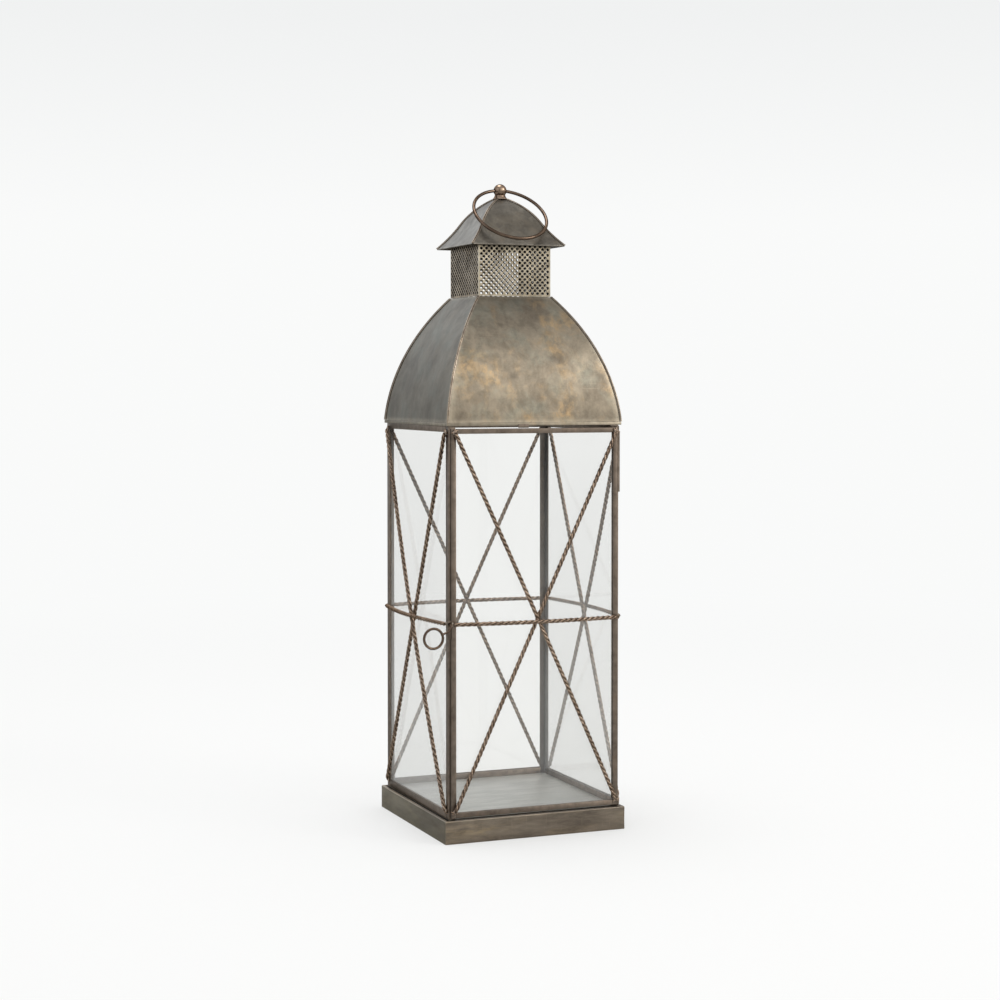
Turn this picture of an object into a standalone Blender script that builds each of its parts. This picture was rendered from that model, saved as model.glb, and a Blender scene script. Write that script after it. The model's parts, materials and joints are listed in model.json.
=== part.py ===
"""Tall square candle lantern in aged brass, with a hinged glass door on its front (-Y).

Metres, +Z up. The origin is the centre of the base's underside. The lantern is a sheet
plinth, four angle posts with channel rails and glass panes between them, crossed ropes of
twisted wire over every face, a curved four-sided dome, a vent neck, an ogee cap and a ball
finial that carries the handle ring. The door turns on a wire pin at its right edge and has
a turning latch ring on its left stile.
"""
import math

import bmesh
import bpy
from mathutils import Matrix, Vector

# ---- driving dimensions ----
GAP = 0.0003                 # clearance left between pieces that touch
TINY = 1e-6                  # heights closer than this are the same

PLINTH_HALF = 0.105
PLINTH_HEIGHT = 0.025
PLINTH_SHEET = 0.001
PLINTH_BEVEL = 0.0008

FRAME_HALF = 0.0992          # outer faces of the corner posts
FRAME_TOP = 0.446
POST_LEG = 0.008
POST_SHEET = 0.001
RAIL_HEIGHT = 0.0082
RAIL_DEPTH = 0.0042
TOP_RAIL_HEIGHT = 0.0095
RAIL_LIP_DROP = 0.0008       # a rail's inner wall stops this far short of its outer wall
GLASS = 0.0016
FLOOR_THICKNESS = 0.0012

DOOR_LEFT = -0.0973
DOOR_RIGHT = 0.0963
DOOR_BOTTOM = 0.0275
DOOR_TOP = 0.4401
DOOR_MEMBER = 0.0053         # width of the door's channel members
DOOR_DEPTH = 0.004
DOOR_WALL = 0.0009
HINGE_X = 0.098
HINGE_Y = -0.102
KNUCKLE_RADIUS = 0.0014
KNUCKLE_BORE = 0.001
PIN_RADIUS = 0.0007
UPPER_KNUCKLE = (0.370, 0.436)
LOWER_KNUCKLE = (0.0278, 0.0338)
KNUCKLE_SIDES = 12
PIN_BITE = 0.001             # a pin ends this far inside its sleeve's end
PIN_BEND = 0.0016            # radius of the upper pin's bend
PIN_BEND_STEPS = 4
PIN_LEG = (0.009, 0.0014)    # the upper pin's leg runs this far left and back
PIN_SIDES = 8
PIN_HEAD_RADIUS = 0.0019
PIN_HEAD_RISE = 0.0009       # height of the lower pin's head, then of its cone
PIN_CONE_RISE = 0.0012

ROPE_RADIUS = 0.0020
ROPE_SIDES = 8
ROPE_REACH = 0.093           # a diagonal's ends, sideways from the face's middle
ROPE_LOW = 0.0335
ROPE_HIGH = 0.4365
ROPE_LEVEL_REACH = 0.0965
ROPE_LEVEL_DROP = 0.0015     # below the diagonals' crossing
ROPE_LAYER = 2 * ROPE_RADIUS + GAP
ROPE_LAYERS = {"rising": 0, "falling": 1, "level": 2}
ROPE_STEPS = {"rising": 1, "falling": 10, "level": 12}

RIM_HALF = 0.1016
RIM_BOTTOM = 0.443
RIM_HEIGHT = 0.0033
DOME_TOP = 0.5832
DOME_RADIUS = 0.2417         # arc of a dome panel, and the arc's centre
DOME_CENTRE_OUT = -0.13984
DOME_CENTRE_UP = 0.42527
SHEET = 0.0008
MITRE = 0.00025              # half a mitre's clearance, along the panel's edge
SEAM_WIDTH = 0.0017
SEAM_THICKNESS = 0.0009
DOME_STEPS = 14

NECK_HALF = 0.0427
NECK_TOP = 0.6508
NECK_LIFT = 0.0004           # above the dome's upper edge

CAP_TOP = (0.0045, 0.6935)   # (half width, height) where the cap's outline starts
CAP_WAIST = (0.034, 0.666)
CAP_EAVE = (0.0548, 0.6395)
CAP_TOP_SLOPE = math.radians(27)
CAP_WAIST_SLOPE = math.radians(59)
CAP_EAVE_SLOPE = math.radians(45)
CAP_SHOULDER_STEPS = 7
CAP_FLARE_STEPS = 5

BALL_RADIUS = 0.0073
BALL_HEIGHT = 0.7026
BALL_BORE = 0.0026
FOOT_RADIUS = 0.0062
FOOT_THICKNESS = 0.0024
FOOT_NECK = 0.0003           # from the foot up to where the ball's surface starts
STEM_RADIUS = 0.0033
STEM_DEPTH = 0.006
BALL_RINGS = 13
BALL_SIDES = 28
BORE_SIDES = 24

HANDLE_RADIUS = 0.0415
HANDLE_WIRE = 0.0018
HANDLE_LEAN = math.radians(43.3)   # below the horizontal, towards the front
HANDLE_STEPS = 64
HANDLE_SIDES = 8

LATCH_X = -0.0995
LATCH_Z = 0.234
LATCH_WIRE = 0.00105
LATCH_RING_RADIUS = 0.0107
LATCH_RING_WIRE = 0.0012
LATCH_RING_X = -0.1193
LATCH_RING_Z = 0.2201
LATCH_PLANE = -0.108
LUG_HALF = 0.0019
LUG_DEPTH = 0.003
LUG_RANGE = (0.2175, 0.237)
LUG_BORE = 0.0014
LUG_BORE_SIDES = 16
# the shank's bends, from its hole in the lug to the ring: (right, out from the ring's plane, up)
SHANK_BENDS = [(0, -0.0012, -0.0004), (0.0002, 0, -0.0022), (-0.0016, 0, -0.0054),
               (-0.0048, 0, -0.0080)]
SHANK_CLEAR = 0.0008         # straight run past the lug's face
SHANK_JOINT = math.radians(22)     # where the shank meets the ring, above its middle
SHANK_STEPS = 3
LATCH_STEPS = 36
LATCH_SIDES = 10

TAB_RANGE = (-0.0205, -0.0085)
TAB_LIFT = 0.0005            # above the door's top
TAB_OVERLAP = 0.0015         # up the rim band

SIDES = {"front": 0, "right": 1, "back": 2, "left": 3}   # quarter turns from the front
CORNERS = {"front_left": 0, "front_right": 1, "back_right": 2, "back_left": 3}
FIXED_SIDES = ("left", "back", "right")

# name: (colour, metallic, roughness, alpha)
FINISHES = {
    "plinth_brass": ((0.23, 0.19, 0.15, 1.0), 0.9, 0.5, 1.0),
    "frame_brass": ((0.19, 0.15, 0.12, 1.0), 0.9, 0.45, 1.0),
    "rope_copper": ((0.26, 0.18, 0.12, 1.0), 0.9, 0.4, 1.0),
    "dome_brass": ((0.30, 0.24, 0.17, 1.0), 0.9, 0.5, 1.0),
    "neck_nickel": ((0.42, 0.38, 0.31, 1.0), 0.9, 0.45, 1.0),
    "cap_bronze": ((0.22, 0.19, 0.16, 1.0), 0.9, 0.5, 1.0),
    "finial_brass": ((0.30, 0.22, 0.15, 1.0), 0.9, 0.3, 1.0),
    "ring_copper": ((0.28, 0.19, 0.13, 1.0), 0.9, 0.3, 1.0),
    "floor_tin": ((0.45, 0.46, 0.43, 1.0), 0.7, 0.35, 1.0),
    "clear_glass": ((0.85, 0.9, 0.88, 1.0), 0.0, 0.05, 0.25),
}


# ---- making objects ----
def clear_scene():
    for item in list(bpy.data.objects):
        bpy.data.objects.remove(item, do_unlink=True)


def make_materials():
    made = {}
    for name, (colour, metallic, roughness, alpha) in FINISHES.items():
        mat = bpy.data.materials.new(name)
        mat.use_nodes = True
        shader = mat.node_tree.nodes["Principled BSDF"]
        shader.inputs["Base Color"].default_value = colour
        shader.inputs["Metallic"].default_value = metallic
        shader.inputs["Roughness"].default_value = roughness
        shader.inputs["Alpha"].default_value = alpha
        made[name] = mat
    return made


def add_pivot(name, place, parent=None):
    """An empty on a joint's axis. Its world place is kept for the pieces it carries."""
    pivot = bpy.data.objects.new(name, None)
    pivot.empty_display_size = 0.01
    bpy.context.scene.collection.objects.link(pivot)
    pivot.parent = parent
    base = Vector(parent["place"]) if parent else Vector((0, 0, 0))
    pivot.location = Vector(place) - base
    pivot["place"] = tuple(place)
    return pivot


def add_part(name, bm, mat, pivot=None, smooth=False):
    """Turn a world-space bmesh into the named object, with its origin at the pivot."""
    bmesh.ops.recalc_face_normals(bm, faces=bm.faces)
    origin = Vector(pivot["place"]) if pivot else middle(bm)
    bmesh.ops.translate(bm, verts=bm.verts, vec=-origin)
    mesh = bpy.data.meshes.new(name)
    bm.to_mesh(mesh)
    bm.free()
    if smooth:
        mesh.shade_smooth()
        mesh.set_sharp_from_angle(angle=math.radians(40))
    mesh.materials.append(mat)
    part = bpy.data.objects.new(name, mesh)
    bpy.context.scene.collection.objects.link(part)
    if pivot:
        part.parent = pivot
    else:
        part.location = origin
    return part


def middle(bm):
    low = [min(v.co[axis] for v in bm.verts) for axis in range(3)]
    high = [max(v.co[axis] for v in bm.verts) for axis in range(3)]
    return (Vector(low) + Vector(high)) / 2


def turned(bm, quarters):
    """Turn a bmesh about the lantern's axis, from the front to another side or corner."""
    turn = Matrix.Rotation(quarters * math.pi / 2, 4, "Z")
    bmesh.ops.transform(bm, matrix=turn, verts=bm.verts)
    return bm


# ---- shapes ----
def prism(outline, place, start, end):
    """Extrude a closed 2-D outline. place(u, v, w) gives the point of (u, v) at station w."""
    bm = bmesh.new()
    first = [bm.verts.new(place(u, v, start)) for u, v in outline]
    last = [bm.verts.new(place(u, v, end)) for u, v in outline]
    bm.faces.new(first)
    bm.faces.new(list(reversed(last)))
    for i in range(len(outline)):
        j = (i + 1) % len(outline)
        bm.faces.new((first[j], first[i], last[i], last[j]))
    return bm


def block(low, high):
    outline = [(low[0], low[1]), (high[0], low[1]), (high[0], high[1]), (low[0], high[1])]
    return prism(outline, lambda u, v, w: (u, v, w), low[2], high[2])


def stack(sections, closed_loop=False):
    """Skin a row of equal sections, each a list of points, and cap the two ends."""
    bm = bmesh.new()
    rings = [[bm.verts.new(point) for point in section] for section in sections]
    count = len(rings[0])
    spans = len(rings) if closed_loop else len(rings) - 1
    for k in range(spans):
        near, far = rings[k], rings[(k + 1) % len(rings)]
        for i in range(count):
            j = (i + 1) % count
            bm.faces.new((near[i], near[j], far[j], far[i]))
    if not closed_loop:
        bm.faces.new(list(reversed(rings[0])))
        bm.faces.new(rings[-1])
    return bm


def circle_points(centre, across, up, radius, sides):
    step = 2 * math.pi / sides
    return [centre + radius * (math.cos(step * i) * across + math.sin(step * i) * up)
            for i in range(sides)]


def tube(path, radius, sides):
    """A round bar along a path of points, with its section carried square to the path."""
    path = [Vector(point) for point in path]
    across = (path[1] - path[0]).orthogonal().normalized()
    sections = []
    for i, point in enumerate(path):
        heading = (path[min(i + 1, len(path) - 1)] - path[max(i - 1, 0)]).normalized()
        across = (across - across.dot(heading) * heading).normalized()
        sections.append(circle_points(point, across, heading.cross(across), radius, sides))
    return stack(sections)


def torus(centre, radius, wire, along, inward, steps, sides):
    """A ring whose plane holds the unit vectors along and inward."""
    sections = []
    square = along.cross(inward)
    for k in range(steps):
        angle = 2 * math.pi * k / steps
        out = math.cos(angle) * along + math.sin(angle) * inward
        sections.append(circle_points(centre + radius * out, out, square, wire, sides))
    return stack(sections, closed_loop=True)


def lathe(outline, steps):
    """Turn an outline of (radius, height) points about Z. Its two ends are on the axis."""
    bm = bmesh.new()
    rings = []
    for radius, height in outline[1:-1]:
        rings.append([bm.verts.new((radius * math.cos(2 * math.pi * k / steps),
                                    radius * math.sin(2 * math.pi * k / steps), height))
                      for k in range(steps)])
    low = bm.verts.new((0, 0, outline[0][1]))
    high = bm.verts.new((0, 0, outline[-1][1]))
    for k in range(steps):
        j = (k + 1) % steps
        bm.faces.new((low, rings[0][j], rings[0][k]))
        bm.faces.new((high, rings[-1][k], rings[-1][j]))
        for near, far in zip(rings, rings[1:]):
            bm.faces.new((near[k], near[j], far[j], far[k]))
    return bm


def hollow_tube(centre, radius, bore, low, high, sides):
    """An upright round sleeve."""
    bm = bmesh.new()
    loops = []
    for size, height in ((radius, low), (radius, high), (bore, high), (bore, low)):
        at = Vector((centre[0], centre[1], height))
        ring = circle_points(at, Vector((1, 0, 0)), Vector((0, 1, 0)), size, sides)
        loops.append([bm.verts.new(point) for point in ring])
    for k in range(4):
        near, far = loops[k], loops[(k + 1) % 4]
        for i in range(sides):
            j = (i + 1) % sides
            bm.faces.new((near[i], near[j], far[j], far[i]))
    return bm


def square_ring(outer, inner, low, high):
    """Four walls round the axis, open above and below."""
    bm = bmesh.new()
    loops = []
    for half, height in ((outer, low), (outer, high), (inner, high), (inner, low)):
        corners = ((-half, -half), (half, -half), (half, half), (-half, half))
        loops.append([bm.verts.new((x, y, height)) for x, y in corners])
    for k in range(4):
        near, far = loops[k], loops[(k + 1) % 4]
        for i in range(4):
            j = (i + 1) % 4
            bm.faces.new((near[i], near[j], far[j], far[i]))
    return bm


def cut_or_join(part, other_bm, operation):
    """Boolean a helper solid into a part. The helper is a hidden wire guide."""
    bmesh.ops.recalc_face_normals(other_bm, faces=other_bm.faces)
    mesh = bpy.data.meshes.new(part.name + "_tool")
    other_bm.to_mesh(mesh)
    other_bm.free()
    tool = bpy.data.objects.new(part.name + "_tool", mesh)
    bpy.context.scene.collection.objects.link(tool)
    tool.display_type = "WIRE"
    tool.hide_render = True
    change = part.modifiers.new(operation.lower(), "BOOLEAN")
    change.object = tool
    change.operation = operation
    change.solver = "EXACT"


# ---- outlines of the curved sheet work ----
def arc_points(start, end, start_slope, end_slope, steps):
    """Points from start to end on the arc whose downward slope turns between the two."""
    weights = []
    for k in range(steps):
        slope = start_slope + (end_slope - start_slope) * (k + 0.5) / steps
        weights.append((math.cos(slope), -math.sin(slope)))
    run = sum(w[0] for w in weights)
    drop = sum(w[1] for w in weights)
    points = [start]
    for k in range(steps):
        out = points[-1][0] + weights[k][0] * (end[0] - start[0]) / run
        up = points[-1][1] + weights[k][1] * (end[1] - start[1]) / drop
        points.append((out, up))
    return points


def cap_outline():
    """The cap's ogee: a convex shoulder, then a flared eave, from the top down."""
    shoulder = arc_points(CAP_TOP, CAP_WAIST, CAP_TOP_SLOPE, CAP_WAIST_SLOPE,
                          CAP_SHOULDER_STEPS)
    flare = arc_points(CAP_WAIST, CAP_EAVE, CAP_WAIST_SLOPE, CAP_EAVE_SLOPE,
                       CAP_FLARE_STEPS)
    return shoulder + flare[1:]


def dome_outline():
    """The dome panel's arc, from the neck down to the rim."""
    low = RIM_BOTTOM + RIM_HEIGHT + GAP
    top_angle = math.asin((DOME_TOP - DOME_CENTRE_UP) / DOME_RADIUS)
    low_angle = math.asin((low - DOME_CENTRE_UP) / DOME_RADIUS)
    points = []
    for k in range(DOME_STEPS + 1):
        angle = top_angle + (low_angle - top_angle) * k / DOME_STEPS
        points.append((DOME_CENTRE_OUT + DOME_RADIUS * math.cos(angle),
                       DOME_CENTRE_UP + DOME_RADIUS * math.sin(angle)))
    return points


def offset_outline(outline, distance):
    """The outline moved outwards, square to itself. It runs from the top down."""
    moved = []
    for i, (out, up) in enumerate(outline):
        before = outline[max(i - 1, 0)]
        after = outline[min(i + 1, len(outline) - 1)]
        run, rise = after[0] - before[0], after[1] - before[1]
        length = math.hypot(run, rise)
        moved.append((out - rise / length * distance, up + run / length * distance))
    return moved


def sheet_panel(outline):
    """One of four mitred panels, on the front side."""
    inner = offset_outline(outline, -SHEET)
    sections = []
    for (out, up), (in_out, in_up) in zip(outline, inner):
        sections.append([(-(out - MITRE), -out, up), (out - MITRE, -out, up),
                         (in_out - MITRE, -in_out, in_up), (-(in_out - MITRE), -in_out, in_up)])
    return stack(sections)


def corner_seam(outline):
    """The folded strip over the front left corner, where two panels meet."""
    under = offset_outline(outline, GAP)
    over = offset_outline(outline, GAP + SEAM_THICKNESS)
    sections = []
    for (u_out, u_up), (o_out, o_up) in zip(under, over):
        sections.append([(-u_out + SEAM_WIDTH, -u_out, u_up), (-u_out, -u_out, u_up),
                         (-u_out, -u_out + SEAM_WIDTH, u_up), (-o_out, -o_out + SEAM_WIDTH, o_up),
                         (-o_out, -o_out, o_up), (-o_out + SEAM_WIDTH, -o_out, o_up)])
    return stack(sections)


# ---- the base ----
def build_base(mats):
    skirt = block((-PLINTH_HALF, -PLINTH_HALF, 0), (PLINTH_HALF, PLINTH_HALF, PLINTH_HEIGHT))
    bmesh.ops.recalc_face_normals(skirt, faces=skirt.faces)
    below = [face for face in skirt.faces if face.normal.z < -0.5]
    bmesh.ops.inset_region(skirt, faces=below, thickness=PLINTH_SHEET)
    below = [face for face in skirt.faces if face.normal.z < -0.5
             and face.calc_area() > PLINTH_HALF * PLINTH_HALF]
    raised = bmesh.ops.extrude_face_region(skirt, geom=below)
    lifted = [item for item in raised["geom"] if isinstance(item, bmesh.types.BMVert)]
    bmesh.ops.translate(skirt, verts=lifted, vec=(0, 0, PLINTH_HEIGHT - PLINTH_SHEET))
    bmesh.ops.delete(skirt, geom=below, context="FACES_ONLY")
    rim = [edge for edge in skirt.edges
           if all(abs(v.co.z - PLINTH_HEIGHT) < TINY for v in edge.verts)]
    bmesh.ops.bevel(skirt, geom=rim, offset=PLINTH_BEVEL, segments=2, affect="EDGES")
    add_part("base_skirt", skirt, mats["plinth_brass"])

    half = PLINTH_HALF - PLINTH_SHEET - GAP
    add_part("base_bottom_plate", block((-half, -half, 0), (half, half, PLINTH_SHEET)),
             mats["plinth_brass"])


# ---- the glazed frame ----
def frame_floor():
    return PLINTH_HEIGHT + GAP


def build_posts(mats):
    inside = -FRAME_HALF + POST_SHEET
    leg = -FRAME_HALF + POST_LEG
    outline = [(-FRAME_HALF, -FRAME_HALF), (leg, -FRAME_HALF), (leg, inside),
               (inside, inside), (inside, leg), (-FRAME_HALF, leg)]
    for corner, quarters in CORNERS.items():
        post = prism(outline, lambda u, v, w: (u, v, w), frame_floor(), FRAME_TOP)
        add_part("corner_post_" + corner, turned(post, quarters), mats["frame_brass"])


def rail_channel(low, height, web_below):
    """A U channel's section on the front side, as (y, z), open towards the glass."""
    outer = -FRAME_HALF
    inner = outer + RAIL_DEPTH
    high = low + height
    lip = height - RAIL_LIP_DROP
    wall = POST_SHEET
    if web_below:
        return [(outer, low), (inner, low), (inner, low + lip), (inner - wall, low + lip),
                (inner - wall, low + wall), (outer + wall, low + wall), (outer + wall, high),
                (outer, high)]
    return [(outer, low), (outer + wall, low), (outer + wall, high - wall),
            (inner - wall, high - wall), (inner - wall, high - lip), (inner, high - lip),
            (inner, high), (outer, high)]


def build_rails(mats):
    reach = FRAME_HALF - POST_LEG - GAP
    sections = {
        "bottom_rail_": rail_channel(frame_floor(), RAIL_HEIGHT, True),
        "top_rail_": rail_channel(FRAME_TOP - TOP_RAIL_HEIGHT, TOP_RAIL_HEIGHT, False),
    }
    for prefix, section in sections.items():
        for side in FIXED_SIDES:
            rail = prism(section, lambda u, v, w: (w, u, v), -reach, reach)
            add_part(prefix + side, turned(rail, SIDES[side]), mats["frame_brass"])


def build_panes(mats):
    outer = -FRAME_HALF + POST_SHEET + GAP
    inner = outer + GLASS
    low = frame_floor() + POST_SHEET + GAP
    high = FRAME_TOP - POST_SHEET - GAP
    full, stopped = -outer, -inner - GAP
    spans = {"back": (-full, full), "right": (-full, stopped), "left": (-stopped, full)}
    for side, (start, end) in spans.items():
        pane = block((start, outer, low), (end, inner, high))
        add_part("glass_" + side, turned(pane, SIDES[side]), mats["clear_glass"])


def build_floor(mats):
    back = FRAME_HALF - RAIL_DEPTH - GAP
    front = -FRAME_HALF + POST_SHEET + GAP
    plate = block((-back, front, frame_floor()), (back, back, frame_floor() + FLOOR_THICKNESS))
    add_part("floor_plate", plate, mats["floor_tin"])


# ---- ropes ----
def rope_path(plane, start, end, layer, steps):
    """Points of a rope on the front side, from (x, z) to (x, z). It bows out by layers."""
    rest = plane - ROPE_RADIUS - GAP
    path = []
    for k in range(steps + 1):
        t = k / steps
        path.append((start[0] + (end[0] - start[0]) * t,
                     rest - layer * ROPE_LAYER * math.sin(math.pi * t),
                     start[1] + (end[1] - start[1]) * t))
    return path


def build_ropes(prefix, plane, quarters, mat, pivot=None):
    """Two diagonals and a level rope, laid over each other where they cross."""
    mid = (ROPE_LOW + ROPE_HIGH) / 2 - ROPE_LEVEL_DROP
    routes = {
        "falling": ((-ROPE_REACH, ROPE_HIGH), (ROPE_REACH, ROPE_LOW)),
        "rising": ((-ROPE_REACH, ROPE_LOW), (ROPE_REACH, ROPE_HIGH)),
        "level": ((-ROPE_LEVEL_REACH, mid), (ROPE_LEVEL_REACH, mid)),
    }
    for name, (start, end) in routes.items():
        path = rope_path(plane, start, end, ROPE_LAYERS[name], ROPE_STEPS[name])
        rope = tube(path, ROPE_RADIUS, ROPE_SIDES)
        add_part(prefix + name, turned(rope, quarters), mat, pivot, smooth=True)


# ---- dome, neck, cap ----
def build_dome(mats):
    rim = square_ring(RIM_HALF, FRAME_HALF + GAP, RIM_BOTTOM, RIM_BOTTOM + RIM_HEIGHT)
    add_part("dome_rim", rim, mats["dome_brass"])
    tab = block((TAB_RANGE[0], -RIM_HALF - GAP - SHEET, DOOR_TOP + TAB_LIFT),
                (TAB_RANGE[1], -RIM_HALF - GAP, RIM_BOTTOM + TAB_OVERLAP))
    add_part("door_stop_tab", tab, mats["frame_brass"])


def build_shell(prefix, outline, mat):
    """Four mitred panels and the four folded seams over their joints."""
    for side, quarters in SIDES.items():
        add_part(prefix + "_panel_" + side, turned(sheet_panel(outline), quarters), mat,
                 smooth=True)
    for corner, quarters in CORNERS.items():
        add_part(prefix + "_seam_" + corner, turned(corner_seam(outline), quarters), mat,
                 smooth=True)


def build_neck(mats):
    neck = square_ring(NECK_HALF, NECK_HALF - SHEET, DOME_TOP + NECK_LIFT, NECK_TOP)
    add_part("vent_neck", neck, mats["neck_nickel"])


def build_finial(mats):
    foot_low = CAP_TOP[1] + SEAM_THICKNESS + 2 * GAP
    foot_high = foot_low + FOOT_THICKNESS
    waist = math.asin((foot_high + FOOT_NECK - BALL_HEIGHT) / BALL_RADIUS)
    stem_end = foot_low - STEM_DEPTH
    outline = [(0, stem_end), (STEM_RADIUS, stem_end), (STEM_RADIUS, foot_low),
               (FOOT_RADIUS, foot_low), (FOOT_RADIUS, foot_high)]
    for k in range(BALL_RINGS):
        angle = waist + (math.pi / 2 - waist) * k / BALL_RINGS
        outline.append((BALL_RADIUS * math.cos(angle),
                        BALL_HEIGHT + BALL_RADIUS * math.sin(angle)))
    outline.append((0, BALL_HEIGHT + BALL_RADIUS))
    finial = add_part("finial", lathe(outline, BALL_SIDES), mats["finial_brass"], smooth=True)
    reach = 2 * BALL_RADIUS
    bore = tube([(-reach, 0, BALL_HEIGHT), (reach, 0, BALL_HEIGHT)], BALL_BORE, BORE_SIDES)
    cut_or_join(finial, bore, "DIFFERENCE")


def build_handle(mats):
    pivot = add_pivot("handle_axis", (0, 0, BALL_HEIGHT))
    lean = Vector((0, -math.cos(HANDLE_LEAN), -math.sin(HANDLE_LEAN)))
    centre = Vector((0, 0, BALL_HEIGHT)) + HANDLE_RADIUS * lean
    ring = torus(centre, HANDLE_RADIUS, HANDLE_WIRE, Vector((1, 0, 0)), lean, HANDLE_STEPS,
                 HANDLE_SIDES)
    add_part("handle_ring", ring, mats["ring_copper"], pivot, smooth=True)


# ---- the door ----
def door_plane():
    return -FRAME_HALF - GAP - DOOR_DEPTH


def member_section():
    """The door member's U, as (across, depth). Its mouth faces the glass, at across 0."""
    back, front = -FRAME_HALF - GAP, door_plane()
    return [(0, front), (-DOOR_MEMBER, front), (-DOOR_MEMBER, back), (0, back),
            (0, back - DOOR_WALL), (-DOOR_MEMBER + DOOR_WALL, back - DOOR_WALL),
            (-DOOR_MEMBER + DOOR_WALL, front + DOOR_WALL), (0, front + DOOR_WALL)]


def build_door(mats, pivot):
    section = member_section()
    left = DOOR_LEFT + DOOR_MEMBER
    right = DOOR_RIGHT - DOOR_MEMBER
    low = DOOR_BOTTOM + DOOR_MEMBER
    high = DOOR_TOP - DOOR_MEMBER
    members = {
        "door_stile_latch": (lambda u, v, w: (left + u, v, w), DOOR_BOTTOM, DOOR_TOP),
        "door_stile_hinge": (lambda u, v, w: (right - u, v, w), DOOR_BOTTOM, DOOR_TOP),
        "door_rail_bottom": (lambda u, v, w: (w, v, low + u), left + GAP, right - GAP),
        "door_rail_top": (lambda u, v, w: (w, v, high - u), left + GAP, right - GAP),
    }
    for name, (place, start, end) in members.items():
        add_part(name, prism(section, place, start, end), mats["frame_brass"], pivot)

    bite = DOOR_MEMBER - DOOR_WALL - GAP
    face = door_plane() + DOOR_WALL + GAP
    pane = block((left - bite, face, low - bite), (right + bite, face + GLASS, high + bite))
    add_part("door_glass", pane, mats["clear_glass"], pivot)
    build_ropes("door_rope_", door_plane(), SIDES["front"], mats["rope_copper"], pivot)


def build_hinges(mats, pivot):
    centre = (HINGE_X, HINGE_Y)
    for name, (low, high) in (("hinge_knuckle_upper", UPPER_KNUCKLE),
                              ("hinge_knuckle_lower", LOWER_KNUCKLE)):
        sleeve = hollow_tube(centre, KNUCKLE_RADIUS, KNUCKLE_BORE, low, high,
                             KNUCKLE_SIDES)
        add_part(name, sleeve, mats["frame_brass"], pivot, smooth=True)

    leg_height = RIM_BOTTOM - GAP - PIN_RADIUS
    path = [(HINGE_X, HINGE_Y, UPPER_KNUCKLE[0] + PIN_BITE)]
    for k in range(PIN_BEND_STEPS + 1):
        angle = math.pi / 2 * k / PIN_BEND_STEPS
        path.append((HINGE_X - PIN_BEND * (1 - math.cos(angle)), HINGE_Y,
                     leg_height - PIN_BEND * (1 - math.sin(angle))))
    path.append((HINGE_X - PIN_LEG[0], HINGE_Y + PIN_LEG[1], leg_height))
    pin = tube(path, PIN_RADIUS, PIN_SIDES)
    add_part("hinge_pin_upper", pin, mats["frame_brass"], smooth=True)

    base = PLINTH_HEIGHT + GAP
    top = LOWER_KNUCKLE[1] - PIN_BITE
    outline = [(0, base), (PIN_HEAD_RADIUS, base), (PIN_HEAD_RADIUS, base + PIN_HEAD_RISE),
               (PIN_RADIUS, base + PIN_CONE_RISE), (PIN_RADIUS, top), (0, top)]
    pin = lathe(outline, KNUCKLE_SIDES)
    bmesh.ops.translate(pin, verts=pin.verts, vec=(HINGE_X, HINGE_Y, 0))
    add_part("hinge_pin_lower", pin, mats["frame_brass"], smooth=True)


def smooth_path(points, steps):
    """Points on a Catmull-Rom curve through the given ones."""
    points = [Vector(point) for point in points]
    ends = [2 * points[0] - points[1]] + points + [2 * points[-1] - points[-2]]
    path = []
    for i in range(1, len(ends) - 2):
        a, b, c, d = ends[i - 1:i + 3]
        for k in range(steps):
            t = k / steps
            path.append(0.5 * ((2 * b) + (c - a) * t + (2 * a - 5 * b + 4 * c - d) * t * t
                               + (3 * b - a - 3 * c + d) * t * t * t))
    path.append(points[-1])
    return path


def build_latch(mats, door_pivot):
    back = -FRAME_HALF - GAP
    lug = block((LATCH_X - LUG_HALF, back - LUG_DEPTH, LUG_RANGE[0]),
                (LATCH_X + LUG_HALF, back, LUG_RANGE[1]))
    lug_part = add_part("latch_lug", lug, mats["frame_brass"], door_pivot)
    bore = tube([(LATCH_X, 0, LATCH_Z), (LATCH_X, 2 * back, LATCH_Z)], LUG_BORE,
                LUG_BORE_SIDES)
    cut_or_join(lug_part, bore, "DIFFERENCE")

    pivot = add_pivot("latch_axis", (LATCH_X, back - LUG_DEPTH, LATCH_Z), door_pivot)
    ring_centre = Vector((LATCH_RING_X, LATCH_PLANE, LATCH_RING_Z))
    joint = Vector((math.cos(SHANK_JOINT), 0, math.sin(SHANK_JOINT))) * LATCH_RING_RADIUS
    bend_start = back - LUG_DEPTH - SHANK_CLEAR
    shank = [(LATCH_X, back, LATCH_Z), (LATCH_X, bend_start, LATCH_Z)]
    shank += [(LATCH_X + right, LATCH_PLANE - out, LATCH_Z + up)
              for right, out, up in SHANK_BENDS]
    shank.append(ring_centre + joint)
    wire = tube(smooth_path(shank, SHANK_STEPS), LATCH_WIRE, LATCH_SIDES)
    latch = add_part("latch_ring", wire, mats["ring_copper"], pivot, smooth=True)
    ring = torus(ring_centre, LATCH_RING_RADIUS, LATCH_RING_WIRE,
                 Vector((1, 0, 0)), Vector((0, 0, 1)), LATCH_STEPS, LATCH_SIDES)
    cut_or_join(latch, ring, "UNION")


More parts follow.
